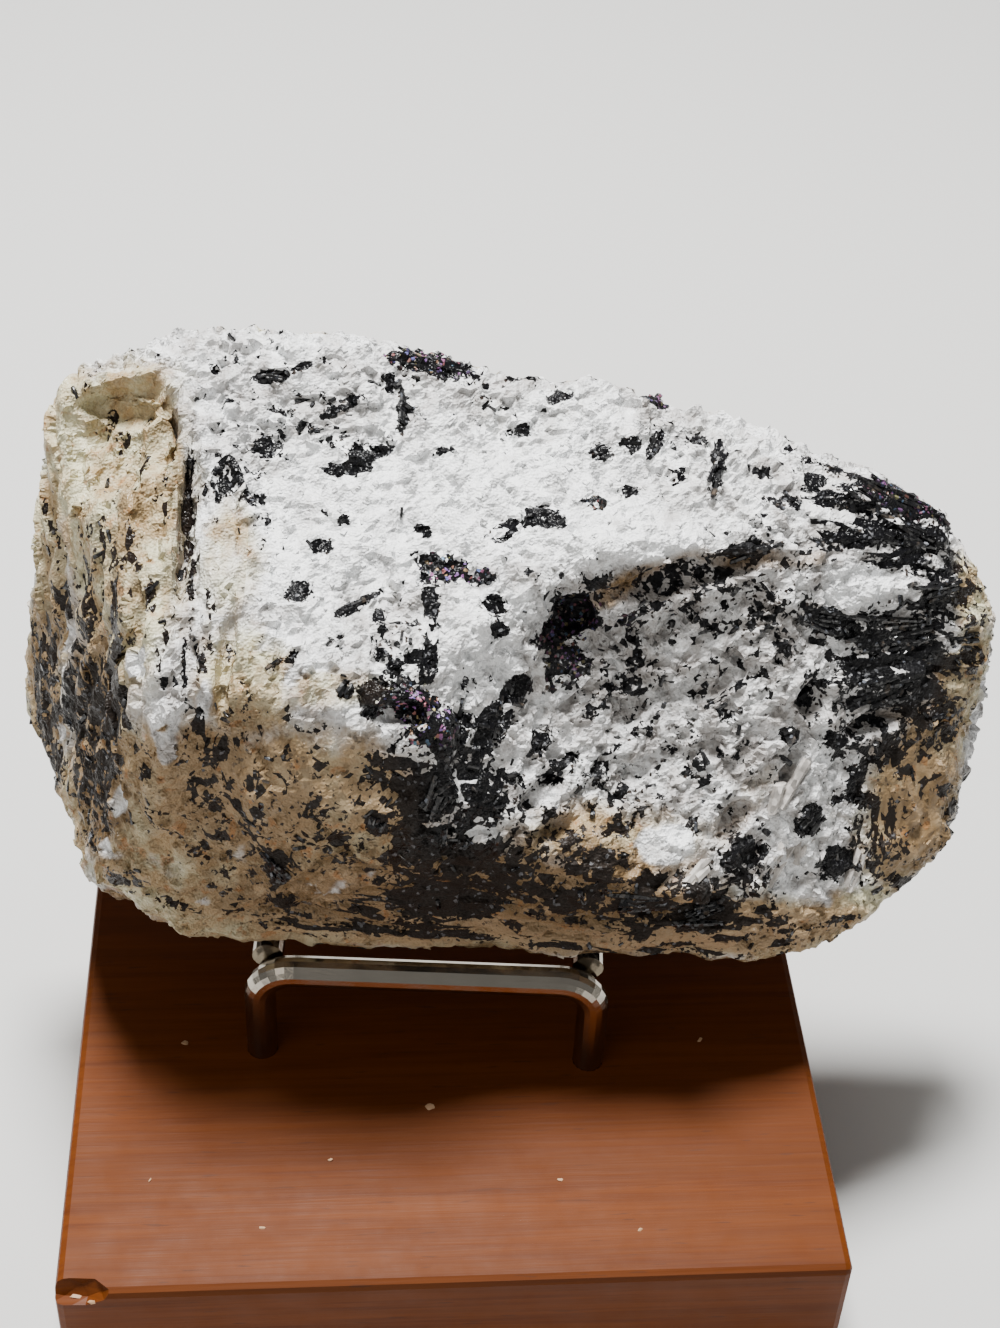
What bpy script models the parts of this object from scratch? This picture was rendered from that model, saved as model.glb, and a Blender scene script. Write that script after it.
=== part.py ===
"""A rough of black tourmaline in white quartz, resting in a bent-rod cradle on a wooden block.

The world origin is the middle of the block's underside, +Z up, +X to the viewer's right and
+Y away from the viewer. The cradle and the stone are laid out in millimetres in a frame of
their own, whose origin is under the middle of the front bar, on the block's top.
"""

import math

import bmesh
import bpy
import numpy as np
from mathutils import Matrix, Vector, noise

MM = 0.001

# Wooden block
BLOCK_WIDTH = 76.0 * MM
BLOCK_DEPTH = 76.0 * MM
BLOCK_THICKNESS = 19.0 * MM
BLOCK_EDGE = 0.8 * MM
CHIP_SIZE = 4.0 * MM
CHIP_SHAPE = (1.0, 0.5, 0.45)
CHIP_INSET = 1.4 * MM
CHIP_ROUGHNESS = 0.5 * MM
CHIP_GRAIN = 1.5 * MM

# Cradle rods
ROD_RADIUS = 1.6 * MM
ROD_SIDES = 16
HOLE_RADIUS = 1.9 * MM
HOLE_DEPTH = 8.0 * MM
TOUCH_GAP = 0.3 * MM
LEG_SPACING = 33.8 * MM
BAR_HEIGHT = 12.0 * MM
BAR_BEND = 3.6 * MM
ARM_SPACING = 32.4 * MM
REST_FOOT_BACK = 31.6 * MM
REST_HEIGHT = 49.0 * MM
REST_LEAN = math.radians(8.5)
REST_BEND = 6.0 * MM
BEND_STEPS = 8

# Where the cradle stands on the block: it is not quite square to it.
CRADLE_ORIGIN = (-2.2 * MM, -10.25 * MM, BLOCK_THICKNESS)
CRADLE_TURN = math.radians(-4.6)

# The stone, in millimetres in the cradle's frame
STONE_CENTRE = np.array((6.0, 19.0, 35.0))
STONE_REACH = np.array((52.0, 21.0, 26.0))
STONE_BOTTOM = 13.9
STONE_DETAIL = 6
STONE_KEPT_SHARE = 0.32
EDGE_ROUNDING = 3.2
CARVE_ROUNDING = 2.0
GROOVE_ROUNDING = 0.8

# The stone's broad faces: an outward direction and a point that the face passes through.
BROAD_FACES = (
    ("front", (0.0, -1.0, 0.08), (0.0, 0.6, 14.5)),
    ("front under-edge", (0.0, -0.72, -0.69), (0.0, 0.6, 15.4)),
    ("front right", (0.43, -0.79, 0.44), (46.0, 7.0, 14.5)),
    ("top", (0.086, -0.463, 0.882), (-10.0, 3.6, 46.0)),
    ("crest", (0.10, 0.30, 0.95), (0.0, 36.0, 64.0)),
    ("top left", (-0.42, 0.10, 0.90), (-30.0, 34.0, 61.6)),
    ("top right", (0.35, 0.0, 0.94), (31.0, 30.0, 57.2)),
    ("back", (0.03, 0.985, -0.17), (0.0, 37.0, 58.0)),
    ("back foot", (0.0, 0.80, -0.60), (0.0, 28.0, 16.0)),
    ("left end", (-0.87, -0.455, 0.19), (-34.8, 6.2, 14.5)),
    ("left back", (-0.88, 0.46, 0.10), (-44.2, 32.0, 30.0)),
    ("left under-edge", (-0.66, -0.20, -0.72), (-38.0, 14.0, 17.5)),
    ("left front foot", (-0.50, -0.62, -0.60), (-31.0, 5.2, 16.0)),
    ("right shoulder", (0.77, 0.0, 0.64), (49.8, 34.0, 48.6)),
    ("right end", (0.97, -0.26, -0.02), (56.8, 27.0, 24.0)),
    ("right back", (0.62, 0.78, 0.0), (51.0, 36.0, 30.0)),
    ("right under-edge", (0.62, -0.30, -0.72), (50.0, 14.0, 15.5)),
)

# Hollows cut into the stone: centre, radii along X, Y and Z.
HOLLOWS = (
    ("scoop under the ridge", (26.0, -9.0, 55.0), (33.0, 28.0, 31.0)),
    ("round pit", (12.6, 13.0, 46.0), (3.2, 7.0, 3.2)),
    ("arched niche", (-34.0, 24.0, 59.0), (6.2, 6.4, 6.6)),
)

# Grooves worn along straight lines: start, end and radius.
GROOVES = (
    ("beside the niche", (-24.7, 26.2, 61.0), (-22.9, 4.8, 48.2), 1.2),
    ("upper flute of the scoop", (36.0, 18.2, 50.0), (14.0, 15.6, 43.0), 1.3),
    ("middle flute of the scoop", (40.0, 16.4, 45.0), (19.0, 12.8, 37.0), 1.6),
    ("lower flute of the scoop", (38.0, 13.0, 40.0), (14.0, 7.0, 31.0), 1.5),
    ("seam above the right foot", (8.0, -0.6, 20.0), (40.0, 3.4, 22.5), 1.0),
    ("seam above the left foot", (-30.0, 0.8, 21.0), (-4.0, -0.4, 19.0), 0.9),
)

# Lumps that stand out of it: centre, radii along X, Y and Z.
LUMPS = (
    ("crest knob", (-12.0, 35.0, 58.4), (9.0, 4.0, 5.4)),
    ("ridge lump", (19.0, 20.0, 50.5), (6.0, 4.0, 3.0)),
    ("white block", (24.0, 7.0, 27.0), (4.0, 3.5, 3.5)),
    ("front belly", (-8.0, 6.0, 30.0), (16.0, 6.5, 12.0)),
)

# Rough relief: size in millimetres of one swell, and how far it stands out.
SWELLS = ((15.0, 1.1), (6.0, 0.75), (3.2, 0.40))

# Upright flutes on the left end: they fade in to the left of a line, and wander a little.
FLUTE_PITCH = 3.4
FLUTE_HEIGHT = 0.4
FLUTE_START = -19.0
FLUTE_FADE = 6.0
FLUTE_ACROSS = (0.5, -0.85)
FLUTE_WANDER = 1.3
FLUTE_WANDER_SIZE = 14.0

# How the surface is found along a ray from the stone's middle, as shares of STONE_REACH.
SEARCH_OUTER = 1.7
SEARCH_INNER = 0.15
SEARCH_STEPS = 156
SEARCH_HALVINGS = 20
SLOPE_STEP = 0.4

# Black tourmaline prisms that break the surface. Each has a point near the surface, the way
# it lies along that surface, its length, its radius and how far its axis stands proud.
PRISMS = (
    ("end mass upper", (46.0, 29.8, 51.7), (0.93, 0.00, -0.35), 11.0, 3.0, -2.1),
    ("end mass middle", (46.5, 24.0, 45.0), (0.90, -0.30, 0.20), 12.0, 3.4, -2.5),
    ("end mass lower", (46.5, 18.6, 37.8), (0.90, -0.36, 0.24), 10.0, 3.0, -2.1),
    ("ledge", (29.2, 21.4, 50.8), (0.98, 0.05, 0.10), 8.0, 1.2, -0.5),
    ("crest crystal", (20.1, 33.2, 60.0), (0.30, 0.80, 0.50), 3.8, 1.6, -0.4),
    ("crest needle", (20.3, 30.1, 56.8), (0.45, 0.70, 0.45), 4.2, 0.8, -0.2),
    ("top needle", (-4.6, 30.0, 59.8), (0.05, 0.85, 0.52), 5.6, 0.7, -0.2),
    ("reddish needle", (26.5, 29.0, 55.9), (0.20, 0.85, 0.45), 5.6, 0.8, -0.2),
    ("centre column", (-0.4, 1.6, 36.0), (0.08, 0.10, 0.99), 15.0, 3.0, -2.3),
    ("centre column foot", (2.4, 0.6, 24.0), (0.25, 0.05, 0.93), 11.0, 2.4, -1.8),
    ("rounded crystal", (-4.9, -0.6, 33.8), (0.10, 0.20, 0.95), 3.4, 1.8, -0.9),
    ("low bar", (-14.2, 0.9, 24.2), (0.05, 0.05, 1.0), 7.0, 1.4, -0.8),
    ("low right wedge", (21.7, 1.5, 22.1), (0.85, 0.10, 0.30), 11.0, 2.2, -1.6),
    ("pale blade", (33.4, 6.9, 27.0), (0.30, 0.15, 0.94), 11.0, 1.2, -0.4),
    ("second pale blade", (36.2, 7.4, 27.5), (0.30, 0.15, 0.94), 9.0, 1.1, -0.4),
    ("left foot mass", (-34.0, 10.3, 31.0), (0.40, -0.60, 0.50), 9.0, 3.0, -2.4),
    ("back band", (0.0, 37.0, 40.0), (0.97, 0.10, 0.18), 18.0, 2.4, -1.7),
    ("back stub", (-28.0, 35.0, 34.0), (0.90, 0.10, -0.35), 10.0, 2.0, -1.4),
    ("back right bar", (32.0, 36.0, 30.0), (0.50, 0.10, 0.85), 16.0, 2.4, -1.7),
)
PRISM_SIDES = 6
TIP_RISE = 0.35
TIP_INSET = 0.45


def clear_scene():
    """Remove everything that the scene starts with."""
    for item in list(bpy.data.objects):
        bpy.data.objects.remove(item, do_unlink=True)


def make_material(name, colour, roughness, metallic=0.0):
    """One Principled material."""
    material = bpy.data.materials.new(name)
    material.use_nodes = True
    shader = material.node_tree.nodes["Principled BSDF"]
    shader.inputs["Base Color"].default_value = (*colour, 1.0)
    shader.inputs["Roughness"].default_value = roughness
    shader.inputs["Metallic"].default_value = metallic
    return material


def add_object(name, mesh, material, parent=None):
    """Link a mesh to the scene as a named object."""
    item = bpy.data.objects.new(name, mesh)
    mesh.materials.append(material)
    bpy.context.scene.collection.objects.link(item)
    item.parent = parent
    return item


def mesh_from(name, builder, smooth_angle=None):
    """A mesh made by a function that fills a bmesh, with its faces turned out."""
    work = bmesh.new()
    builder(work)
    bmesh.ops.recalc_face_normals(work, faces=work.faces)
    mesh = bpy.data.meshes.new(name)
    work.to_mesh(mesh)
    work.free()
    if smooth_angle is not None:
        mesh.shade_smooth()
        mesh.set_sharp_from_angle(angle=smooth_angle)
    return mesh


# Wooden block

def rod_feet():
    """The four points, in the cradle's frame, where a rod enters the block."""
    half_front = LEG_SPACING / 2
    half_back = ARM_SPACING / 2
    return (
        Vector((-half_front, 0.0, 0.0)),
        Vector((half_front, 0.0, 0.0)),
        Vector((-half_back, REST_FOOT_BACK, 0.0)),
        Vector((half_back, REST_FOOT_BACK, 0.0)),
    )


def add_cutter(name, mesh, matrix):
    """A hidden object that only cuts another."""
    cutter = bpy.data.objects.new(name, mesh)
    bpy.context.scene.collection.objects.link(cutter)
    cutter.matrix_world = matrix
    cutter.hide_render = True
    cutter.display_type = "WIRE"
    return cutter


def cut(item, cutter):
    """Subtract a cutter from an object."""
    modifier = item.modifiers.new("cut " + cutter.name, "BOOLEAN")
    modifier.operation = "DIFFERENCE"
    modifier.solver = "EXACT"
    modifier.object = cutter


def build_block(cradle):
    """The square block with softened edges, a chipped corner and the rods' blind holes."""
    def block_shape(work):
        bmesh.ops.create_cube(work, size=1.0)
        size = Vector((BLOCK_WIDTH, BLOCK_DEPTH, BLOCK_THICKNESS))
        bmesh.ops.scale(work, vec=size, verts=work.verts)
        bmesh.ops.translate(work, vec=(0.0, 0.0, BLOCK_THICKNESS / 2), verts=work.verts)
        bmesh.ops.bevel(work, geom=work.edges, offset=BLOCK_EDGE, segments=2, profile=0.5,
                        affect="EDGES")

    def hole_shape(work):
        bmesh.ops.create_cone(work, cap_ends=True, segments=ROD_SIDES, radius1=HOLE_RADIUS,
                              radius2=HOLE_RADIUS, depth=2 * HOLE_DEPTH)

    def chip_shape(work):
        bmesh.ops.create_icosphere(work, subdivisions=2, radius=CHIP_SIZE)
        bmesh.ops.scale(work, vec=CHIP_SHAPE, verts=work.verts)
        for vert in work.verts:
            vert.co += CHIP_ROUGHNESS * noise.noise_vector(vert.co / CHIP_GRAIN)

    wood = make_material("varnished wood", (0.36, 0.13, 0.04), 0.4)
    block = add_object("display_block", mesh_from("display_block", block_shape), wood)
    for number, foot in enumerate(rod_feet()):
        lean = REST_LEAN if number > 1 else 0.0
        matrix = cradle.matrix_world @ Matrix.Translation(foot) @ Matrix.Rotation(-lean, 4, "X")
        hole = add_cutter("rod hole " + str(number), mesh_from("hole", hole_shape), matrix)
        cut(block, hole)
    corner = Matrix.Translation((CHIP_INSET - BLOCK_WIDTH / 2, -BLOCK_DEPTH / 2,
                                 BLOCK_THICKNESS))
    chip = add_cutter("corner chip", mesh_from("chip", chip_shape), corner)
    cut(block, chip)
    return block


# Rods

def bend_path(start, corner, end, radius):
    """Points of the arc that rounds a corner between two straight runs."""
    towards_start = (start - corner).normalized()
    towards_end = (end - corner).normalized()
    half_angle = towards_start.angle(towards_end) / 2
    reach = radius / math.tan(half_angle)
    middle = (towards_start + towards_end).normalized()
    centre = corner + middle * (radius / math.sin(half_angle))
    first = corner + towards_start * reach - centre
    last = corner + towards_end * reach - centre
    turn = first.angle(last)
    axis = first.cross(last).normalized()
    points = []
    for step in range(BEND_STEPS + 1):
        swing = Matrix.Rotation(turn * step / BEND_STEPS, 4, axis)
        points.append(centre + swing @ first)
    return points


def rod_along(points, radius=ROD_RADIUS):
    """A closed round rod that follows a list of points."""
    def shape(work):
        rings = []
        side = None
        for number, point in enumerate(points):
            before = points[max(number - 1, 0)]
            after = points[min(number + 1, len(points) - 1)]
            along = (after - before).normalized()
            if side is None:
                side = along.orthogonal().normalized()
            side = (side - along * side.dot(along)).normalized()
            across = along.cross(side)
            ring = []
            for corner in range(ROD_SIDES):
                angle = 2 * math.pi * corner / ROD_SIDES
                offset = side * math.cos(angle) + across * math.sin(angle)
                ring.append(work.verts.new(point + offset * radius))
            rings.append(ring)
        for first, second in zip(rings, rings[1:]):
            for corner in range(ROD_SIDES):
                following = (corner + 1) % ROD_SIDES
                work.faces.new((first[corner], first[following], second[following],
                                second[corner]))
        work.faces.new(rings[0])
        work.faces.new(rings[-1])
    return shape


def staple_points(half_spacing, foot_back, height, lean, bend):
    """The route of a rod that rises from the block, crosses over and goes down again."""
    drop = HOLE_DEPTH - TOUCH_GAP
    rise = Vector((0.0, math.sin(lean), math.cos(lean)))
    left_foot = Vector((-half_spacing, foot_back, 0.0))
    right_foot = Vector((half_spacing, foot_back, 0.0))
    left_corner = left_foot + rise * height
    right_corner = right_foot + rise * height
    left_end = left_foot - rise * drop
    right_end = right_foot - rise * drop
    points = [left_end]
    points += bend_path(left_end, left_corner, right_corner, bend)
    points += bend_path(left_corner, right_corner, right_end, bend)
    points.append(right_end)
    return points


def build_rods(cradle):
    """The front rod, the two arms and the back rest."""
    metal = make_material("polished rod", (0.62, 0.60, 0.56), 0.16, 1.0)
    smooth = math.radians(40)
    front = staple_points(LEG_SPACING / 2, 0.0, BAR_HEIGHT, 0.0, BAR_BEND)
    add_object("front_rod", mesh_from("front_rod", rod_along(front), smooth), metal, cradle)
    rest = staple_points(ARM_SPACING / 2, REST_FOOT_BACK, REST_HEIGHT, REST_LEAN, REST_BEND)
    add_object("back_rest_rod", mesh_from("back_rest_rod", rod_along(rest), smooth), metal,
               cradle)
    arm_front = ROD_RADIUS + TOUCH_GAP
    rest_at_bar = REST_FOOT_BACK + BAR_HEIGHT * math.tan(REST_LEAN)
    arm_back = rest_at_bar - ROD_RADIUS / math.cos(REST_LEAN) - 1.5 * TOUCH_GAP
    for name, sign in (("left_arm", -1), ("right_arm", 1)):
        across = sign * ARM_SPACING / 2
        ends = (Vector((across, arm_front, BAR_HEIGHT)), Vector((across, arm_back, BAR_HEIGHT)))
        add_object(name, mesh_from(name, rod_along(ends), smooth), metal, cradle)


# Stone

def smooth_max(first, second, rounding):
    """The larger of two fields, with the corner between them rounded."""
    blend = np.maximum(rounding - np.abs(first - second), 0.0) / rounding
    return np.maximum(first, second) + blend * blend * rounding / 4


def ellipsoid_field(points, centre, radii):
    """Roughly the distance to an ellipsoid, negative inside it."""
    scaled = (points - np.array(centre)) / np.array(radii)
    return (np.linalg.norm(scaled, axis=-1) - 1.0) * min(radii)


def groove_field(points, start, end, radius):
    """The distance to a round bar between two points, negative inside it."""
    first = np.array(start)
    run = np.array(end) - first
    share = np.clip((points - first) @ run / np.dot(run, run), 0.0, 1.0)
    nearest = first + share[..., None] * run
    return np.linalg.norm(points - nearest, axis=-1) - radius


def stone_field(points):
    """Roughly the distance to the stone's surface, negative inside it."""
    field = np.full(points.shape[:-1], -100.0)
    for _, direction, through in BROAD_FACES:
        outward = np.array(direction)
        outward = outward / np.linalg.norm(outward)
        field = smooth_max(field, (points - np.array(through)) @ outward, EDGE_ROUNDING)
    for _, centre, radii in LUMPS:
        lump = ellipsoid_field(points, centre, radii)
        field = -smooth_max(-field, -lump, CARVE_ROUNDING)
    for _, centre, radii in HOLLOWS:
        hollow = ellipsoid_field(points, centre, radii)
        field = smooth_max(field, -hollow, CARVE_ROUNDING)
    for _, start, end, radius in GROOVES:
        field = smooth_max(field, -groove_field(points, start, end, radius), GROOVE_ROUNDING)
    return field


def to_surface(directions):
    """Where rays from the stone's middle leave it, in millimetres."""
    scales = np.linspace(SEARCH_OUTER, SEARCH_INNER, SEARCH_STEPS)
    rays = directions * STONE_REACH
    first = np.full(len(rays), -1)
    for number, scale in enumerate(scales):
        inside = stone_field(STONE_CENTRE + rays * scale) < 0.0
        first = np.where((first < 0) & inside, number, first)
    low = scales[first]
    high = scales[np.maximum(first - 1, 0)]
    for _ in range(SEARCH_HALVINGS):
        middle = (low + high) / 2
        field = stone_field(STONE_CENTRE + rays * middle[:, None])
        low = np.where(field < 0.0, middle, low)
        high = np.where(field < 0.0, high, middle)
    return STONE_CENTRE + rays * low[:, None]


def rough_offset(point):
    """How far the rough surface stands out at a point: swells, and flutes on the left end."""
    offset = 0.0
    for size, height in SWELLS:
        offset += height * noise.noise(Vector(point) / size)
    end_share = min(max((FLUTE_START - point[0]) / FLUTE_FADE, 0.0), 1.0)
    across = np.dot(point[:2], FLUTE_ACROSS)
    wander = FLUTE_WANDER * noise.noise(Vector(point) / FLUTE_WANDER_SIZE)
    flute = math.sin(2 * math.pi * (across / FLUTE_PITCH + wander))
    return offset + FLUTE_HEIGHT * end_share * flute


def near_surface(point):
    """The surface point on the ray from the stone's middle through a given point."""
    direction = (np.array(point) - STONE_CENTRE) / STONE_REACH
    direction = direction / np.linalg.norm(direction)
    return to_surface(direction[None, :])[0]


def outward_at(point):
    """The direction in which the field grows fastest at a point."""
    steps = np.eye(3) * SLOPE_STEP
    slope = stone_field(point + steps) - stone_field(point - steps)
    return slope / np.linalg.norm(slope)


def stone_shape(work):
    """The stone without its prisms: a ball of fine triangles drawn onto the field's surface."""
    bmesh.ops.create_icosphere(work, subdivisions=STONE_DETAIL, radius=1.0)
    directions = np.array([vert.co[:] for vert in work.verts])
    directions = directions / np.linalg.norm(directions, axis=1)[:, None]
    surface = to_surface(directions)
    for vert, point, direction in zip(work.verts, surface, directions):
        outward = direction / STONE_REACH
        outward = outward / np.linalg.norm(outward)
        moved = point + outward * rough_offset(point)
        moved[2] = max(moved[2], STONE_BOTTOM)
        vert.co = Vector(moved) * MM


def prism_shape(length, radius):
    """A six-sided crystal along Z with low pointed ends."""
    def shape(work):
        tip = radius * TIP_RISE
        bmesh.ops.create_cone(work, cap_ends=True, segments=PRISM_SIDES, radius1=radius,
                              radius2=radius, depth=length)
        caps = [face for face in work.faces if abs(face.normal.z) > 0.9]
        for face in caps:
            rise = Vector((0.0, 0.0, math.copysign(tip, face.calc_center_median().z)))
            bmesh.ops.inset_region(work, faces=[face], thickness=radius * TIP_INSET)
            bmesh.ops.translate(work, vec=rise, verts=face.verts)
    return shape


def build_stone(cradle):
    """The stone with its tourmaline prisms joined to it."""
    rock = make_material("quartz with tourmaline", (0.78, 0.76, 0.74), 0.55)
    stone = add_object("stone", mesh_from("stone", stone_shape), rock, cradle)
    thin = stone.modifiers.new("fewer faces", "DECIMATE")
    thin.decimate_type = "COLLAPSE"
    thin.ratio = STONE_KEPT_SHARE
    prisms = bpy.data.collections.new("prisms")
    bpy.context.scene.collection.children.link(prisms)
    for name, near, along, length, radius, proud in PRISMS:
        point = near_surface(near)
        outward = outward_at(point)
        lying = np.array(along) - outward * np.dot(along, outward)
        place = Matrix.Translation(Vector(point + outward * proud) * MM)
        turn = Vector(lying).to_track_quat("Z", "Y").to_matrix().to_4x4()
        mesh = mesh_from(name, prism_shape(length * MM, radius * MM))
        prism = add_cutter("prism " + name, mesh, cradle.matrix_world @ place @ turn)
        bpy.context.scene.collection.objects.unlink(prism)
        prisms.objects.link(prism)
    union = stone.modifiers.new("prisms", "BOOLEAN")
    union.operation = "UNION"
    union.solver = "EXACT"
    union.operand_type = "COLLECTION"
    union.collection = prisms
    return stone


def main():
    """Build the stand and the stone."""
    clear_scene()
    cradle = bpy.data.objects.new("cradle frame", None)
    bpy.context.scene.collection.objects.link(cradle)
    cradle.location = CRADLE_ORIGIN
    cradle.rotation_euler = (0.0, 0.0, CRADLE_TURN)
    bpy.context.view_layer.update()
    build_block(cradle)
    build_rods(cradle)
    build_stone(cradle)


main()
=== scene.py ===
"""Looks of a rough of black tourmaline in white quartz, resting in its rod cradle on a wooden block.

Lengths are metres unless a name ends in _MM. A place on the stone's front is given by the pixel
of the 1000 by 1328 photograph that shows it, and is found on the stone itself by looking from
the photograph's camera.
"""

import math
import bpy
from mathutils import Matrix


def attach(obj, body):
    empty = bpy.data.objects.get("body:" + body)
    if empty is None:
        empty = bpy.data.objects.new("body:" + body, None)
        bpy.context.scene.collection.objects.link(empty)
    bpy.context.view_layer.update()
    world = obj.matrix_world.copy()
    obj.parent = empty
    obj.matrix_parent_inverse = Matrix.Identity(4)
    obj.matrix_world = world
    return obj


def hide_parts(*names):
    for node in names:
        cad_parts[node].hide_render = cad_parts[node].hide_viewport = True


bl_info = {
    "name": "Tourmaline in quartz specimen",
    "version": (1, 0, 0),
    "blender": (4, 5, 0),
    "location": "View3D > Sidebar > Specimen",
    "description": "Finishes a rough of black tourmaline in quartz and its wooden display stand",
    "category": "Object",
}

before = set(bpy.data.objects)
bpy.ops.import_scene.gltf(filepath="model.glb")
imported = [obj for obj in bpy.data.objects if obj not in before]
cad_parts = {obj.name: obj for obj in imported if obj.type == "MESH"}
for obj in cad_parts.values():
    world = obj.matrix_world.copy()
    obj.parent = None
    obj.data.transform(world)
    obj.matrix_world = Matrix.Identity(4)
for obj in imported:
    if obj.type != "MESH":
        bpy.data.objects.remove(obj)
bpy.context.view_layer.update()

import bmesh
import bpy
import numpy as np
from bpy.props import FloatProperty, FloatVectorProperty, IntProperty, PointerProperty
from bpy.types import Operator, Panel, PropertyGroup
from mathutils import Matrix, Vector, noise
from mathutils.bvhtree import BVHTree

MM = 0.001

# The photograph's frame and camera
PHOTO_CENTRE = (500.0, 664.0)
PHOTO_FOCAL = 2200.0
PHOTO_LONG_SIDE = 1328.0
SENSOR_WIDTH_MM = 36.0
CAMERA_PLACE = Vector((-0.01001, -0.15709, 0.19921))
CAMERA_RIGHT = Vector((0.99745379, -0.06136585, 0.03633413))
CAMERA_UP = Vector((0.01259501, 0.65305583, 0.75720503))
CAMERA_AHEAD = Vector((0.07019475, 0.75481939, -0.65216591))

# Black tourmaline on the front: across and down in pixels, half length and half width in
# pixels, turn in degrees, and how solidly black it is.
BLACK_TOP = (
    (270, 376, 20, 6, 3, 0.99), (300, 367, 12, 5, 20, 0.94), (428, 362, 42, 13, -8, 0.99),
    (402, 411, 26, 5, 92, 1.1), (265, 450, 24, 12, 30, 0.66), (220, 490, 20, 12, 0, 0.56),
    (367, 452, 24, 12, 10, 0.68), (445, 452, 11, 6, 0, 0.94), (322, 545, 13, 9, 0, 0.99),
    (298, 592, 12, 12, 0, 0.94), (358, 604, 25, 6, 28, 1.1), (378, 617, 9, 9, 0, 1.04),
    (445, 567, 30, 15, -20, 0.92), (425, 530, 12, 9, 0, 0.89), (430, 600, 34, 9, 95, 0.89),
    (428, 660, 34, 10, 85, 0.89), (495, 605, 14, 12, 0, 0.94), (505, 530, 20, 12, 25, 0.89),
    (545, 518, 24, 12, -10, 0.94), (590, 505, 16, 10, 0, 0.86), (600, 455, 14, 11, 0, 0.79),
    (632, 445, 9, 9, 0, 0.94), (655, 400, 11, 15, 70, 1.09), (655, 445, 17, 6, 60, 1.1),
    (632, 490, 12, 6, 0, 0.74), (718, 462, 32, 7, 82, 1.1), (760, 470, 10, 7, 0, 0.74),
    (800, 505, 30, 8, -10, 0.69), (815, 480, 12, 8, 0, 0.94), (745, 552, 36, 8, 5, 1.06),
    (340, 405, 20, 9, 30, 0.64), (310, 430, 16, 8, -20, 0.59), (480, 400, 14, 7, 10, 0.64),
    (235, 470, 32, 26, 40, 0.48), (400, 382, 30, 12, 0, 0.52), (340, 440, 28, 12, -30, 0.5),
    (300, 404, 30, 10, 20, 0.48), (462, 380, 32, 8, -10, 0.6), (520, 382, 20, 8, 0, 0.52),
    (560, 396, 14, 8, 20, 0.62), (700, 440, 10, 8, 0, 0.66), (680, 474, 9, 8, 0, 0.66),
    (350, 468, 26, 9, 0, 0.66), (250, 500, 20, 8, 0, 0.52), (520, 430, 12, 7, 0, 0.6),
    (770, 500, 26, 8, -20, 0.55), (830, 500, 20, 9, 20, 0.7), (840, 470, 24, 7, -20, 0.7),
    (480, 578, 14, 9, 0, 0.72), (500, 628, 12, 8, 0, 0.66), (345, 520, 8, 5, 0, 0.7),
    (290, 660, 30, 9, 20, 0.52), (265, 640, 24, 8, 60, 0.5), (340, 640, 18, 10, 0, 0.6),
)
BLACK_SCOOP = (
    (575, 612, 26, 26, 0, 1.0), (548, 634, 26, 18, 30, 0.85), (600, 585, 22, 10, 20, 0.6),
    (565, 665, 34, 24, 40, 0.6), (520, 690, 20, 15, 60, 0.85), (640, 660, 16, 10, 30, 0.45),
    (715, 575, 30, 8, 10, 0.55), (770, 665, 14, 9, 60, 0.6), (812, 700, 20, 18, 60, 0.85),
    (790, 735, 13, 10, 0, 0.95), (835, 742, 12, 9, 0, 0.9), (690, 700, 12, 7, 40, 0.45),
    (808, 820, 19, 17, 0, 1.0), (835, 862, 24, 18, 30, 0.82), (740, 855, 24, 15, 30, 0.85),
    (640, 612, 44, 5, 30, 0.66), (705, 598, 50, 5, 22, 0.62), (662, 682, 40, 5, 35, 0.6),
    (732, 690, 44, 5, 30, 0.62), (622, 742, 30, 5, 40, 0.58), (765, 622, 40, 6, 18, 0.64),
    (694, 764, 30, 6, 40, 0.6), (652, 775, 26, 6, 50, 0.6), (600, 700, 30, 12, 50, 0.55),
    (560, 770, 30, 12, 30, 0.58), (540, 740, 24, 10, 50, 0.58), (610, 830, 24, 10, 0, 0.6),
    (685, 838, 25, 9, 70, 0.7), (570, 835, 24, 12, 30, 0.7), (620, 800, 12, 8, 20, 0.5),
)
BLACK_RIGHT_END = (
    (905, 500, 46, 20, -18, 0.97), (915, 535, 52, 13, -6, 0.93), (845, 542, 42, 11, 10, 0.75),
    (832, 622, 42, 15, -18, 0.97), (900, 645, 58, 28, 8, 0.92), (880, 690, 40, 25, 10, 0.9),
    (938, 598, 30, 14, 10, 0.85), (925, 705, 30, 22, 0, 0.8), (955, 578, 26, 10, 15, 0.72),
    (870, 800, 13, 10, 0, 0.8), (885, 755, 26, 14, 70, 0.6), (842, 792, 17, 8, 60, 0.7),
    (945, 790, 15, 9, 0, 0.8), (920, 886, 36, 11, 5, 0.85), (966, 790, 8, 15, 0, 0.8),
    (975, 660, 12, 26, 0, 0.55), (905, 770, 14, 10, 0, 0.6), (905, 525, 84, 50, -14, 0.74),
    (900, 655, 86, 62, 0, 0.72), (955, 600, 60, 40, 90, 0.62), (860, 720, 50, 44, 40, 0.55),
    (880, 840, 60, 40, 80, 0.5), (940, 740, 30, 14, 40, 0.66), (905, 735, 40, 20, 60, 0.56),
    (860, 770, 40, 16, 70, 0.62), (965, 820, 16, 30, 0, 0.5),
)
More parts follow.
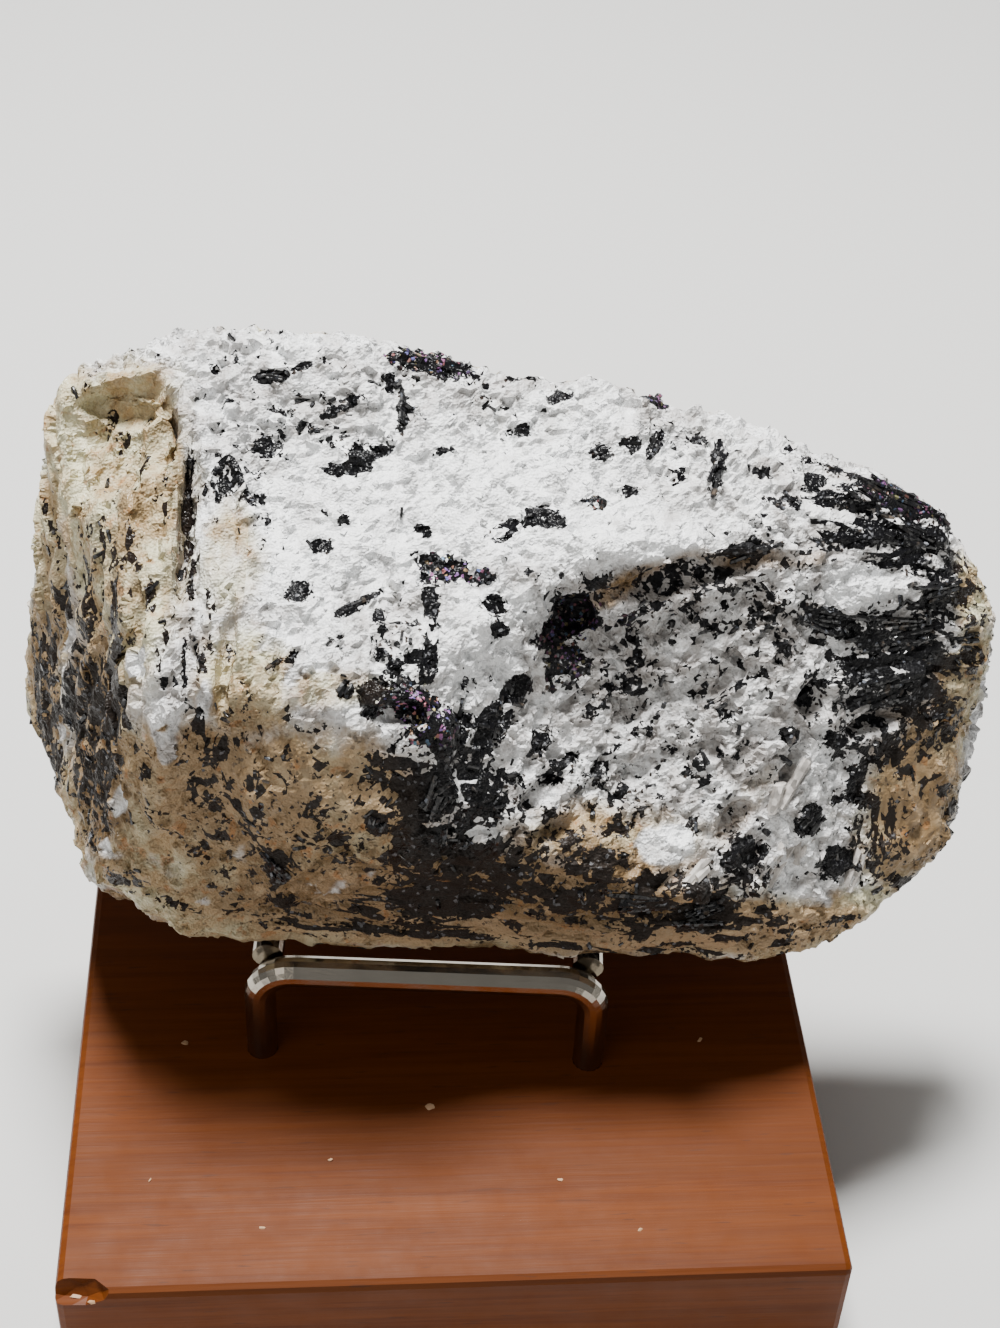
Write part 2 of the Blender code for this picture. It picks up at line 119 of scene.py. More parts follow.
BLACK_CENTRE = (
    (410, 702, 30, 24, 0, 0.92), (450, 742, 46, 26, -50, 0.88), (430, 800, 38, 36, 0, 0.92),
    (418, 852, 34, 36, 0, 0.97), (470, 862, 42, 34, 0, 0.88), (440, 900, 62, 16, -5, 0.92),
    (495, 722, 26, 16, 40, 0.82), (372, 700, 14, 24, 0, 0.62), (345, 690, 10, 10, 0, 0.9),
    (378, 826, 14, 14, 0, 1.0), (372, 768, 20, 16, 90, 0.55), (512, 884, 32, 11, 0, 0.82),
    (500, 800, 40, 40, 50, 0.66), (355, 800, 10, 20, 0, 0.5), (440, 790, 76, 90, 0, 0.66),
    (450, 880, 110, 46, 0, 0.7), (560, 885, 90, 44, 0, 0.56), (400, 640, 40, 30, 60, 0.42),
)
BLACK_LOW = (
    (640, 905, 42, 24, 10, 0.93), (700, 915, 42, 18, 15, 0.88), (590, 872, 26, 24, 60, 0.82),
    (570, 908, 26, 9, 90, 0.9), (274, 868, 26, 12, 95, 0.97), (278, 902, 22, 10, 0, 0.92),
    (300, 926, 64, 5, -2, 0.72), (450, 936, 70, 5, -2, 0.82), (545, 944, 40, 5, 0, 0.72),
    (820, 925, 50, 5, 12, 0.6), (180, 905, 24, 7, -20, 0.6), (118, 878, 12, 8, 0, 0.8),
    (660, 905, 96, 40, 10, 0.62), (740, 870, 60, 40, 20, 0.5), (270, 830, 110, 70, 0, 0.4),
)
BLACK_LEFT = (
    (95, 745, 62, 40, 80, 0.72), (75, 702, 40, 34, 80, 0.78), (118, 668, 42, 24, 70, 0.68),
    (65, 600, 26, 16, 90, 0.55), (98, 805, 34, 26, 70, 0.66), (58, 765, 22, 26, 0, 0.7),
    (187, 490, 70, 5, 88, 0.66), (150, 600, 20, 8, 80, 0.42), (95, 560, 26, 8, 80, 0.4),
    (185, 660, 40, 5, 90, 0.55), (200, 720, 26, 7, 80, 0.45), (245, 720, 40, 6, 80, 0.42),
    (92, 745, 110, 66, 82, 0.66), (110, 700, 60, 34, 80, 0.74), (80, 620, 60, 40, 88, 0.42),
    (110, 560, 140, 60, 90, 0.24), (48, 690, 70, 30, 88, 0.66), (46, 740, 60, 26, 88, 0.66),
    (52, 560, 60, 26, 88, 0.36), (128, 455, 26, 5, 80, 0.46), (190, 590, 90, 8, 88, 0.42),
    (168, 640, 60, 6, 86, 0.42), (120, 610, 40, 6, 86, 0.46), (80, 520, 40, 6, 84, 0.42),
    (205, 640, 60, 9, 86, 0.4),
)
# Quartz patches that stay clear of black: the same, with how much black they take away.
WHITE_PATCHES = (
    (165, 732, 44, 15, 88, 0.9), (130, 408, 56, 26, 0, 0.3), (70, 640, 18, 10, 80, 1.0),
    (120, 800, 20, 11, 70, 1.0), (60, 735, 14, 8, 80, 1.0), (140, 660, 16, 8, 80, 1.0),
    (195, 900, 16, 7, -20, 0.7), (240, 850, 12, 7, 30, 0.8), (205, 700, 26, 8, 86, 0.7),
    (112, 850, 22, 18, 30, 0.7), (858, 590, 32, 20, 20, 1.0), (665, 845, 34, 22, 0, 0.9),
    (325, 886, 30, 14, 0, 0.6), (372, 880, 26, 16, 0, 0.6), (948, 640, 22, 14, 0, 0.6),
    (480, 500, 130, 50, 5, 0.5), (640, 545, 40, 18, 0, 0.7), (570, 425, 30, 20, 0, 0.5),
    (700, 720, 90, 60, 30, 0.35), (915, 820, 34, 30, 0, 0.5), (820, 895, 36, 18, 0, 0.5),
    (300, 650, 70, 40, 20, 0.5), (790, 820, 12, 60, -20, 0.6),
)
# Where the quartz is tan, from iron in it, the same way; the two thin bands under the crest are
# painted shade.
TAN_PATCHES = (
    (112, 520, 190, 78, 90, 0.86), (130, 425, 64, 50, 0, 0.98), (100, 760, 130, 78, 88, 0.9),
    (190, 800, 120, 90, 0, 0.86), (300, 820, 120, 100, 0, 0.86), (430, 900, 300, 60, -3, 0.85),
    (920, 800, 70, 100, 0, 0.8), (965, 700, 44, 110, 0, 0.75), (245, 690, 50, 80, 0, 0.66),
    (700, 930, 200, 34, 0, 0.75), (600, 860, 110, 60, 0, 0.6), (232, 560, 34, 80, 0, 0.5),
    # The first two entries here paint shade as a tan band under the crest.
    (645, 578, 70, 13, 24, 0.58), (760, 560, 80, 11, 2, 0.46), (30, 720, 60, 60, 0, 0.8),
    (56, 440, 90, 44, 88, 0.74), (48, 570, 100, 44, 88, 0.82), (44, 700, 100, 44, 88, 0.85),
    (70, 820, 70, 60, 60, 0.85), (150, 895, 90, 34, -24, 0.85), (250, 928, 110, 26, -8, 0.9),
    (830, 925, 110, 30, 14, 0.72), (975, 600, 50, 26, 88, 0.7), (330, 690, 60, 20, 0, 0.5),
    (740, 810, 50, 20, 50, 0.3),
)
# Where the quartz is whitest and smoothest, the same way: partly white quartz, partly painted light
# on the top face.
BRIGHT_PATCHES = (
    (460, 500, 230, 70, 4, 1.0), (300, 560, 90, 70, 0, 0.7), (660, 540, 60, 26, 0, 0.9),
    (480, 640, 60, 50, 40, 0.8), (860, 588, 34, 22, 20, 1.0), (345, 886, 46, 14, 0, 0.5),
    (665, 845, 34, 22, 0, 0.8), (570, 420, 60, 40, 0, 0.6), (330, 345, 60, 14, 0, 0.8),
)
# Bundles of striated tourmaline: across, down, length and width in pixels, turn, crystal count.
BUNDLES = (
    (896, 496, 74, 38, -18, 9), (912, 536, 80, 24, -8, 6), (832, 622, 76, 24, -18, 5),
    (905, 640, 92, 46, 6, 9), (885, 690, 66, 40, 10, 7), (936, 590, 50, 26, 4, 6),
    (745, 552, 62, 12, 5, 3), (440, 800, 40, 34, 70, 5), (452, 744, 44, 26, -52, 4),
    (274, 868, 44, 20, 95, 4), (640, 905, 60, 30, 12, 5), (700, 915, 54, 20, 15, 4),
    (718, 462, 56, 9, 82, 2), (402, 411, 50, 8, 92, 2), (358, 604, 42, 8, 28, 2),
    (655, 445, 26, 8, 60, 2), (655, 400, 24, 16, 70, 3), (270, 376, 32, 9, 3, 3),
    (428, 362, 66, 16, -8, 6), (812, 820, 30, 26, 40, 4), (960, 640, 40, 20, 0, 4),
    (378, 826, 22, 20, 80, 2), (345, 690, 16, 14, 60, 2), (790, 735, 18, 16, 30, 2),
)
# Pale quartz blades beside them, the same way.
PALE_BLADES = (
    (787, 790, 62, 20, 60, 2), (772, 868, 66, 26, 64, 3), (858, 862, 60, 16, 84, 2),
    (800, 855, 44, 14, 70, 2), (700, 872, 34, 14, 50, 2),
)

# White quartz blocks: across, down, length and width in pixels, turn, and thickness in pixels.
WHITE_BLOCKS = (
    (652, 838, 42, 30, 30, 50), (680, 850, 40, 28, -20, 46), (660, 866, 34, 26, 10, 36),
    (690, 832, 26, 22, 60, 34), (640, 856, 24, 22, 0, 30), (718, 880, 34, 24, 20, 26),
    (166, 715, 36, 26, 80, 36), (168, 748, 40, 26, 85, 32), (160, 770, 26, 20, 60, 24),
    (120, 845, 28, 22, 30, 26), (108, 862, 22, 16, 10, 22), (340, 888, 46, 24, 5, 30),
    (378, 880, 30, 20, -10, 26), (300, 884, 30, 20, 10, 22), (768, 432, 38, 14, -6, 18),
    (605, 425, 40, 26, 20, 24), (860, 580, 46, 30, 20, 26), (858, 604, 34, 24, -10, 22),
    (820, 895, 44, 26, 5, 26), (770, 890, 30, 22, 20, 24), (330, 345, 26, 16, 0, 20),
    (300, 346, 22, 14, 0, 18), (360, 346, 24, 14, 10, 16), (700, 760, 34, 24, 30, 26),
    (660, 745, 30, 22, 20, 24), (725, 720, 30, 20, 35, 24), (760, 760, 34, 20, 40, 26),
    (600, 770, 36, 26, 10, 26), (625, 815, 32, 22, 50, 26), (585, 740, 28, 20, 30, 22),
    (690, 630, 40, 18, 30, 22), (740, 640, 44, 18, 30, 22), (650, 690, 40, 18, 30, 22),
    (790, 650, 36, 18, 30, 20), (800, 600, 40, 16, 20, 20), (520, 655, 36, 26, 40, 24),
    (480, 640, 44, 34, 50, 26), (905, 800, 60, 56, 80, 34), (930, 840, 50, 44, 40, 34),
    (895, 850, 40, 36, 20, 30), (945, 770, 40, 30, 80, 26), (270, 800, 46, 40, 60, 24),
    (330, 790, 44, 30, 30, 22), (230, 760, 44, 30, 80, 22), (580, 900, 50, 26, 0, 26),
    (500, 905, 46, 22, 0, 22), (640, 530, 60, 22, 22, 24), (820, 560, 40, 20, 5, 22),
)

# Dark brown iron-stained quartz, the same way, with painted shade in the niche and under the crest.
DEEP_PATCHES = (
    (100, 760, 120, 70, 85, 1.0), (250, 800, 110, 110, 0, 0.5), (440, 880, 260, 60, 0, 0.9),
    (600, 900, 130, 40, 0, 0.9), (70, 640, 60, 34, 88, 0.8), (960, 700, 60, 24, 88, 0.7),
    # (170, 412) paints shade in the niche.
    (900, 700, 80, 60, 0, 0.6), (180, 520, 90, 14, 88, 0.7), (170, 412, 40, 18, 80, 0.9),
    # (690, 564) paints shade under the crest.
    (690, 564, 120, 20, 10, 0.9), (920, 810, 74, 60, 80, 0.75), (48, 680, 100, 34, 88, 0.8),
    (120, 600, 120, 30, 88, 0.5),
)
# The parts of the stone that are made dull and grey or brown, below, under the crest and in the
# hollow: painted shade, partly over dull brown quartz.
LOW_PATCHES = (
    (95, 745, 120, 66, 82, 0.75), (240, 800, 110, 110, 0, 0.75), (430, 900, 220, 50, 0, 0.95),
    (600, 890, 120, 50, 0, 0.9), (690, 930, 200, 28, 0, 0.9), (560, 860, 60, 60, 0, 0.5),
    (650, 582, 76, 20, 22, 0.95), (760, 556, 96, 18, 3, 0.95), (740, 840, 40, 50, 0, 0.5),
    (900, 700, 90, 60, 90, 0.7), (60, 620, 90, 30, 90, 0.4), (380, 780, 60, 70, 0, 0.7),
    (560, 640, 46, 46, 0, 0.6), (48, 700, 100, 34, 88, 0.6), (700, 640, 130, 80, 20, 0.68),
    (680, 760, 130, 60, 20, 0.62), (920, 810, 70, 50, 80, 0.75),
)
# The sugary hollow, which is full of small black grains, the same way.
HOLLOW_PATCHES = (
    (700, 640, 130, 90, 20, 1.0), (680, 740, 120, 70, 20, 1.0), (780, 700, 60, 70, 0, 0.8),
)
# Where the quartz breaks in smooth faces instead of grains, the same way.
SMOOTH_PATCHES = (
    (912, 812, 62, 44, 80, 1.0), (330, 770, 60, 60, 0, 0.5), (250, 780, 50, 80, 0, 0.4),
)
# Where the grain runs level, upright, or slants down to the left, and where it is dug out.
LEVEL_PATCHES = (
    (905, 520, 110, 60, -12, 1.0), (900, 650, 110, 70, 0, 0.9), (960, 640, 60, 60, 90, 1.0),
    (430, 935, 330, 26, -2, 1.0), (700, 938, 160, 22, 6, 1.0), (930, 890, 60, 22, 20, 0.8),
    (440, 900, 110, 30, 0, 0.6),
)
UPRIGHT_PATCHES = (
    (115, 560, 190, 78, 90, 1.0), (110, 760, 130, 74, 85, 0.4), (210, 600, 170, 34, 85, 0.8),
    (260, 780, 90, 60, 80, 0.6), (285, 860, 50, 24, 90, 0.6), (880, 820, 70, 30, 78, 0.5),
    (55, 480, 110, 40, 88, 1.0), (46, 580, 90, 40, 88, 0.9), (50, 770, 90, 40, 88, 0.4),
)
SLANTED_PATCHES = (
    (680, 640, 140, 90, 30, 1.0), (760, 720, 120, 70, 35, 0.8), (620, 720, 90, 60, 30, 0.7),
)
DUG_PATCHES = (
    (128, 404, 52, 24, 4, 1.0), (160, 436, 36, 16, 84, 0.9), (100, 425, 26, 14, 80, 0.7),
    (187, 520, 90, 8, 88, 0.8), (575, 612, 22, 18, 0, 0.6), (690, 578, 70, 16, 14, 0.7),
    (60, 560, 90, 8, 88, 0.5), (225, 660, 60, 9, 84, 0.6), (430, 650, 30, 8, 88, 0.4),
    (735, 820, 24, 14, 50, 0.8), (880, 720, 40, 12, 20, 0.7), (560, 830, 26, 14, 30, 0.6),
    (815, 700, 20, 16, 60, 0.7), (790, 780, 30, 10, 60, 0.7), (545, 790, 30, 14, 40, 0.6),
    (400, 715, 30, 14, 0, 0.6),
)
# Where a few crystal faces shine purple, green and gold, the same way.
GLINT_PATCHES = (
    (425, 715, 40, 26, 0, 0.9), (455, 568, 26, 16, 0, 1.0), (425, 360, 44, 12, -8, 0.5),
    (590, 505, 24, 14, 0, 0.3), (655, 400, 12, 14, 0, 0.4), (905, 495, 44, 16, -18, 0.3),
    (575, 635, 60, 30, 40, 0.25),
)

# Pale raised fibres on the block's top: across, down, length and width in pixels, and turn.
WOOD_FLAKES = (
    (430, 1107, 13, 9, 20), (185, 1043, 10, 6, -30), (262, 1228, 8, 5, 10), (700, 1040, 8, 4, 60),
    (560, 1180, 7, 4, -20), (330, 1160, 6, 4, 0), (150, 1180, 7, 3, 80), (640, 1230, 6, 4, 30),
    (78, 1296, 16, 7, 10), (92, 1302, 10, 5, -20),
)
FLAKE_THICKNESS = 0.16 * MM

# The block's holes are drawn in by a share of their radius, up to a reach round each rod. The
# back rest leans back, and the cradle is turned on the block.
HOLE_REACH = 2.4 * MM
HOLE_CLOSING = 0.147
FOOT_HEIGHT = 2.0 * MM
REST_SLOPE = 0.1495
REST_WAY = Vector((0.0802, 0.9968, 0.0))

# How a patch fades: it is full inside the fade and gone past its end, in shares of its size, and
# it reaches at least so many pixels deep.
PATCH_END = 1.45
PATCH_FADE = 0.9
PATCH_DEPTH_PX = 40.0
PATCH_DEPTH_SHARE = 0.8
# Where to look for the stone along a ray that misses it
NEAR_STONE = 0.18
FAR_STONE = 0.30
LOOK_STEP = 0.002

# The stone's fine surface
MERGE_DISTANCE = 1e-6
ORE_THRESHOLD = 0.5
ORE_EDGE = 0.012
RUN_THRESHOLD = 0.45
DIG_DEPTH = -2.2 * MM
HIGHEST_GRAIN = 0.75 * MM
SWELL_SIZE = 3.6 * MM
SWELL_HEIGHT = 0.35 * MM
LAYER_SIZE = 1.1 * MM
FLUTE_SIZE = 1.9 * MM
SLANT_SIZE = 2.6 * MM
BLOTCH_SIZE = 13.0 * MM
SPRINKLE_SIZE = 7.0 * MM
STAIN_SIZE = 18.0 * MM
RAGGED_SIZE = 2.4 * MM
LEVEL_RUN = (CAMERA_RIGHT * 0.985 - CAMERA_UP * 0.17).normalized()
UPRIGHT_RUN = (CAMERA_UP - CAMERA_RIGHT * 0.05).normalized()
SLANTED_RUN = (CAMERA_RIGHT * 0.82 + CAMERA_UP * 0.57).normalized()

# The fields that the rock's material reads as attributes
PAINTED_FIELDS = ("ore", "tan", "bright", "low", "deep", "level", "upright", "glint", "smooth")

# Cells of the rock's pattern for each metre, from broken grains down to sugar
COARSE_CELLS = 640.0
FINE_CELLS = 1450.0
DUST_CELLS = 3300.0

# Crystals and chips
HULL_POINTS = 16
HULL_SUNK = 0.55
CROSSING = 10.0
NEEDLE_RADIUS = 0.19
NEEDLE_LENGTHS = (0.45 * MM, 1.5 * MM)
CHIP_SIZES = (0.22 * MM, 0.60 * MM)

# Stage
FLOOR_HALF = 1.5
MIDDLE = (0.0, 0.0, 0.05)
KEY_PLACE = (-0.03, 0.17, 0.60)
KEY_SIZE = 0.15
KEY_COLOUR = (1.0, 0.99, 0.97)
FILL_PLACE = (-0.35, -0.45, 0.35)
FILL_SIZE = 0.5
FILL_COLOUR = (1.0, 0.95, 0.88)
SKY_COLOUR = (0.84, 0.83, 0.81, 1.0)

# Colours of small things
RUST = (0.30, 0.125, 0.035)
DARK_SPECK = (0.03, 0.022, 0.018)
STAINED_ORE = (0.016, 0.011, 0.008)
ORE_DUST = (0.16, 0.125, 0.095)
BLADE = (0.62, 0.58, 0.54)
PORE = (0.07, 0.020, 0.006)
RAISED_FIBRE = (0.40, 0.24, 0.13, 1.0)


class StoneSettings(PropertyGroup):
    """Sizes and colours of the stone."""
    voxel: FloatProperty(
        name="Surface step", description="Edge of the stone's fine triangles",
        default=0.445 * MM, min=0.3 * MM, unit="LENGTH")
    grain: FloatProperty(
        name="Quartz grain", description="Size of a sugary quartz grain",
        default=1.7 * MM, unit="LENGTH")
    relief: FloatProperty(
        name="Grain relief", description="How far the grains stand out, as a share",
        default=0.56)
    quartz: FloatVectorProperty(
        name="Quartz", description="Colour of clean quartz", subtype="COLOR",
        default=(0.93, 0.945, 0.955), min=0.0, max=1.0)
    tan: FloatVectorProperty(
        name="Iron stain", description="Colour of iron-stained quartz", subtype="COLOR",
        default=(0.41, 0.295, 0.16), min=0.0, max=1.0)
    # The dull brown is partly painted shade: the low patches mix it in below, under the crest and in
    # the hollow.
    brown: FloatVectorProperty(
        name="Dull brown", description="Colour of stained quartz low on the front",
        subtype="COLOR", default=(0.350, 0.240, 0.140), min=0.0, max=1.0)
    tourmaline: FloatVectorProperty(
        name="Tourmaline", description="Colour of the tourmaline", subtype="COLOR",
        default=(0.005, 0.005, 0.006), min=0.0, max=1.0)
    needles: IntProperty(
        name="Needles", description="Small tourmaline needles strewn over the stone",
        default=1700, min=0)
    chips: IntProperty(
        name="Quartz chips", description="Small quartz chips that stand out of the surface",
        default=4800, min=0)


class StandSettings(PropertyGroup):
    """Colours of the wooden block and the rods."""
    wood: FloatVectorProperty(
        name="Wood", description="Colour of the varnished wood", subtype="COLOR",
        default=(0.125, 0.031, 0.0036), min=0.0, max=1.0)
    dark_grain: FloatVectorProperty(
        name="Dark grain", description="Colour of the wood's dark grain", subtype="COLOR",
        default=(0.064, 0.014, 0.0025), min=0.0, max=1.0)
    metal: FloatVectorProperty(
        name="Rod", description="Colour of the polished rods", subtype="COLOR",
        default=(0.42, 0.385, 0.33), min=0.0, max=1.0)


class StageSettings(PropertyGroup):
    """The floor and the lights."""
    floor: FloatVectorProperty(
        name="Floor", description="Colour of the floor", subtype="COLOR",
        default=(0.62, 0.62, 0.61), min=0.0, max=1.0)
    key: FloatProperty(
        name="Key light", description="Strength of the main light in watts", default=11.2)
    fill: FloatProperty(
        name="Fill light", description="Strength of the soft front light in watts",
        default=0.9)
    ambient: FloatProperty(
        name="Ambient", description="Strength of the even light from all round", default=0.30)


# Node helpers

def add_node(tree, kind, inputs=None, **settings):
    """Add a node, set its settings, and fill or link its inputs by name or number."""
    node = tree.nodes.new(kind)
    for name, value in settings.items():
        setattr(node, name, value)
    for key, value in (inputs or {}).items():
        socket = node.inputs[key]
        if isinstance(value, bpy.types.NodeSocket):
            tree.links.new(value, socket)
        else:
            socket.default_value = value
    return node


def math_node(tree, operation, *values):
    """The result of a Math node."""
    inputs = dict(enumerate(values))
    return add_node(tree, "ShaderNodeMath", inputs, operation=operation).outputs[0]


def mix_colour(tree, share, first, second):
    """Two colours mixed; a colour may be a socket or three numbers."""
    def four(colour):
        return colour if isinstance(colour, bpy.types.NodeSocket) else (*colour[:3], 1.0)
    node = add_node(tree, "ShaderNodeMix", {0: share, 6: four(first), 7: four(second)},
                    data_type="RGBA")
    return node.outputs[2]


def ramp_between(tree, value, low, high, from_value=0.0, to_value=1.0):
    """A value rescaled so that low gives from_value and high gives to_value."""
    inputs = {"Value": value, "From Min": low, "From Max": high, "To Min": from_value,
              "To Max": to_value}
    return add_node(tree, "ShaderNodeMapRange", inputs).outputs[0]


def object_coords(tree, scale=(1.0, 1.0, 1.0)):
    """Object coordinates, stretched along the axes."""
    coords = add_node(tree, "ShaderNodeTexCoord").outputs["Object"]
    return add_node(tree, "ShaderNodeMapping", {"Vector": coords, "Scale": scale}).outputs[0]


def drawn_out(tree, coords, direction, factor):
    """Coordinates in which whatever is drawn runs longer along one direction."""
    along = add_node(tree, "ShaderNodeVectorMath", {0: coords, 1: tuple(direction)},
                     operation="DOT_PRODUCT").outputs["Value"]
    pull = tuple(part * (1.0 / factor - 1.0) for part in direction)
    return add_node(tree, "ShaderNodeVectorMath", {0: along, 1: pull, 2: coords},
                    operation="MULTIPLY_ADD").outputs[0]


def fine_noise(tree, vector, scale, detail=3.0, roughness=0.55, distortion=0.0):
    """A noise value between 0 and 1."""
    inputs = {"Vector": vector, "Scale": scale, "Detail": detail, "Roughness": roughness,
              "Distortion": distortion}
    return add_node(tree, "ShaderNodeTexNoise", inputs).outputs["Fac"]


def cells(tree, vector, scale):
    """A Voronoi node."""
    return add_node(tree, "ShaderNodeTexVoronoi", {"Vector": vector, "Scale": scale})


def scaled(colour, *factors):
    """A colour with its parts multiplied by one number, or by one each."""
    factors = factors if len(factors) == 3 else factors * 3
    return tuple(min(1.0, part * factor) for part, factor in zip(colour, factors))


def add_shares(tree, value, *pairs):
    """A value with shares of other values added to it."""
    for other, share in pairs:
        value = math_node(tree, "MULTIPLY_ADD", other, share, value)
    return value


def paint(tree, shader, **values):
    """Link values to the shader's sockets of those names."""
    for name, value in values.items():
        tree.links.new(value, shader.inputs[name.replace("_", " ")])


def split_colour(tree, colour):
    """The three parts of a colour."""
    return add_node(tree, "ShaderNodeSeparateColor", {0: colour}).outputs


def facets(tree, coords, scale, tilt):
    """Angular grains: a height in metres that is flat and tilted in each, and random numbers."""
    node = cells(tree, coords, scale)
    offset = add_node(tree, "ShaderNodeVectorMath", {0: coords, 1: node.outputs["Position"]},
                      operation="SUBTRACT").outputs[0]
    lean = add_node(tree, "ShaderNodeVectorMath", {0: node.outputs["Color"], 1: (0.5, 0.5, 0.5)},
                    operation="SUBTRACT").outputs[0]
    height = add_node(tree, "ShaderNodeVectorMath", {0: offset, 1: lean},
                      operation="DOT_PRODUCT").outputs["Value"]
    return math_node(tree, "MULTIPLY", height, tilt), split_colour(tree, node.outputs["Color"])


def attribute(tree, name):
    """A number stored on the mesh's points."""
    return add_node(tree, "ShaderNodeAttribute", attribute_name=name).outputs["Fac"]


def new_material(name):
    """A material with its tree and its Principled shader."""
    material = bpy.data.materials.new(name)
    material.use_nodes = True
    tree = material.node_tree
    return material, tree, tree.nodes["Principled BSDF"]


# Materials

def bump_chain(tree, *layers):
    """Bumps laid over each other; each layer is a height, a depth in metres and a strength."""
    normal = None
    for height, depth, strength in layers:
        inputs = {"Height": height, "Distance": depth, "Strength": strength}
        if normal is not None:
            inputs["Normal"] = normal
        normal = add_node(tree, "ShaderNodeBump", inputs).outputs[0]
    return normal


def by_share(tree, share, first, second):
    """A number mixed from two by a share."""
    return add_node(tree, "ShaderNodeMix", {0: share, 2: first, 3: second},
                    data_type="FLOAT").outputs[0]


def run_of_grain(tree, coords):
    """Coordinates drawn out along the stone's layers or flutes, where the attributes say so."""
    level = drawn_out(tree, coords, LEVEL_RUN, 5.0)
    upright = drawn_out(tree, coords, UPRIGHT_RUN, 2.6)
    is_level = math_node(tree, "GREATER_THAN", attribute(tree, "level"), RUN_THRESHOLD)
    is_upright = math_node(tree, "GREATER_THAN", attribute(tree, "upright"), RUN_THRESHOLD)
    first = add_node(tree, "ShaderNodeMix", {0: is_upright, 4: coords, 5: upright},
                     data_type="VECTOR").outputs[1]
    return add_node(tree, "ShaderNodeMix", {0: is_level, 4: first, 5: level},
                    data_type="VECTOR").outputs[1]


def ore_share(tree, coarse, fine, cloud, dust):
    """1 where tourmaline shows and 0 elsewhere, with an edge that follows the grains."""
    grains = ((coarse[0], 0.52), (fine[1], 0.44), (cloud, 0.80), (dust[2], 0.16))
    middle = sum(share for _, share in grains) / 2
    wobble = add_shares(tree, math_node(tree, "SUBTRACT", attribute(tree, "ore"), middle), *grains)
    return ramp_between(tree, wobble, ORE_THRESHOLD - ORE_EDGE, ORE_THRESHOLD + ORE_EDGE)


def clean_tone(tree, settings, milk, fine):
    """Milky white where the quartz is bright, and grey where it is clear or dull; the bright patches
    also paint light on the top, and the low patches paint shade.
    """
    milkiness = add_shares(tree, ramp_between(tree, milk, 0.36, 0.60, -0.10, 0.75),
                           (attribute(tree, "bright"), 0.62), (fine[1], 0.34),
                           (attribute(tree, "low"), -0.42))
    return mix_colour(tree, milkiness, scaled(settings.quartz, 0.45, 0.42, 0.40), settings.quartz)


def stained_and_shaded_tone(tree, settings, coords, running, milk):
    """Tan quartz, paler where it is milky, brown low down, dark in streaks, rusty in spots; the
    brown and the dark streaks are partly painted shade, where the low and deep attributes say.
    """
    low = attribute(tree, "low")
    paleness = add_shares(tree, ramp_between(tree, milk, 0.40, 0.60), (low, -0.75))
    tone = mix_colour(tree, paleness, settings.tan, scaled(settings.tan, 1.45, 1.90, 2.40))
    # Painted shade, partly over dull quartz: brown where the low attribute says.
    tone = mix_colour(tree, math_node(tree, "MULTIPLY", low, 0.88), tone, settings.brown)
    # Dark streaks where the deep attribute says: iron stain, and painted shade in the niche, under
    # the crest and underneath.
    streaks = ramp_between(tree, fine_noise(tree, running, 480.0, detail=4.0), 0.32, 0.56)
    streaks = math_node(tree, "MULTIPLY", streaks, attribute(tree, "deep"))
    tone = mix_colour(tree, streaks, tone, scaled(settings.tan, 0.36, 0.31, 0.25))
    rusty = ramp_between(tree, fine_noise(tree, coords, 560.0), 0.61, 0.68, 0.0, 0.6)
    return mix_colour(tree, rusty, tone, RUST)


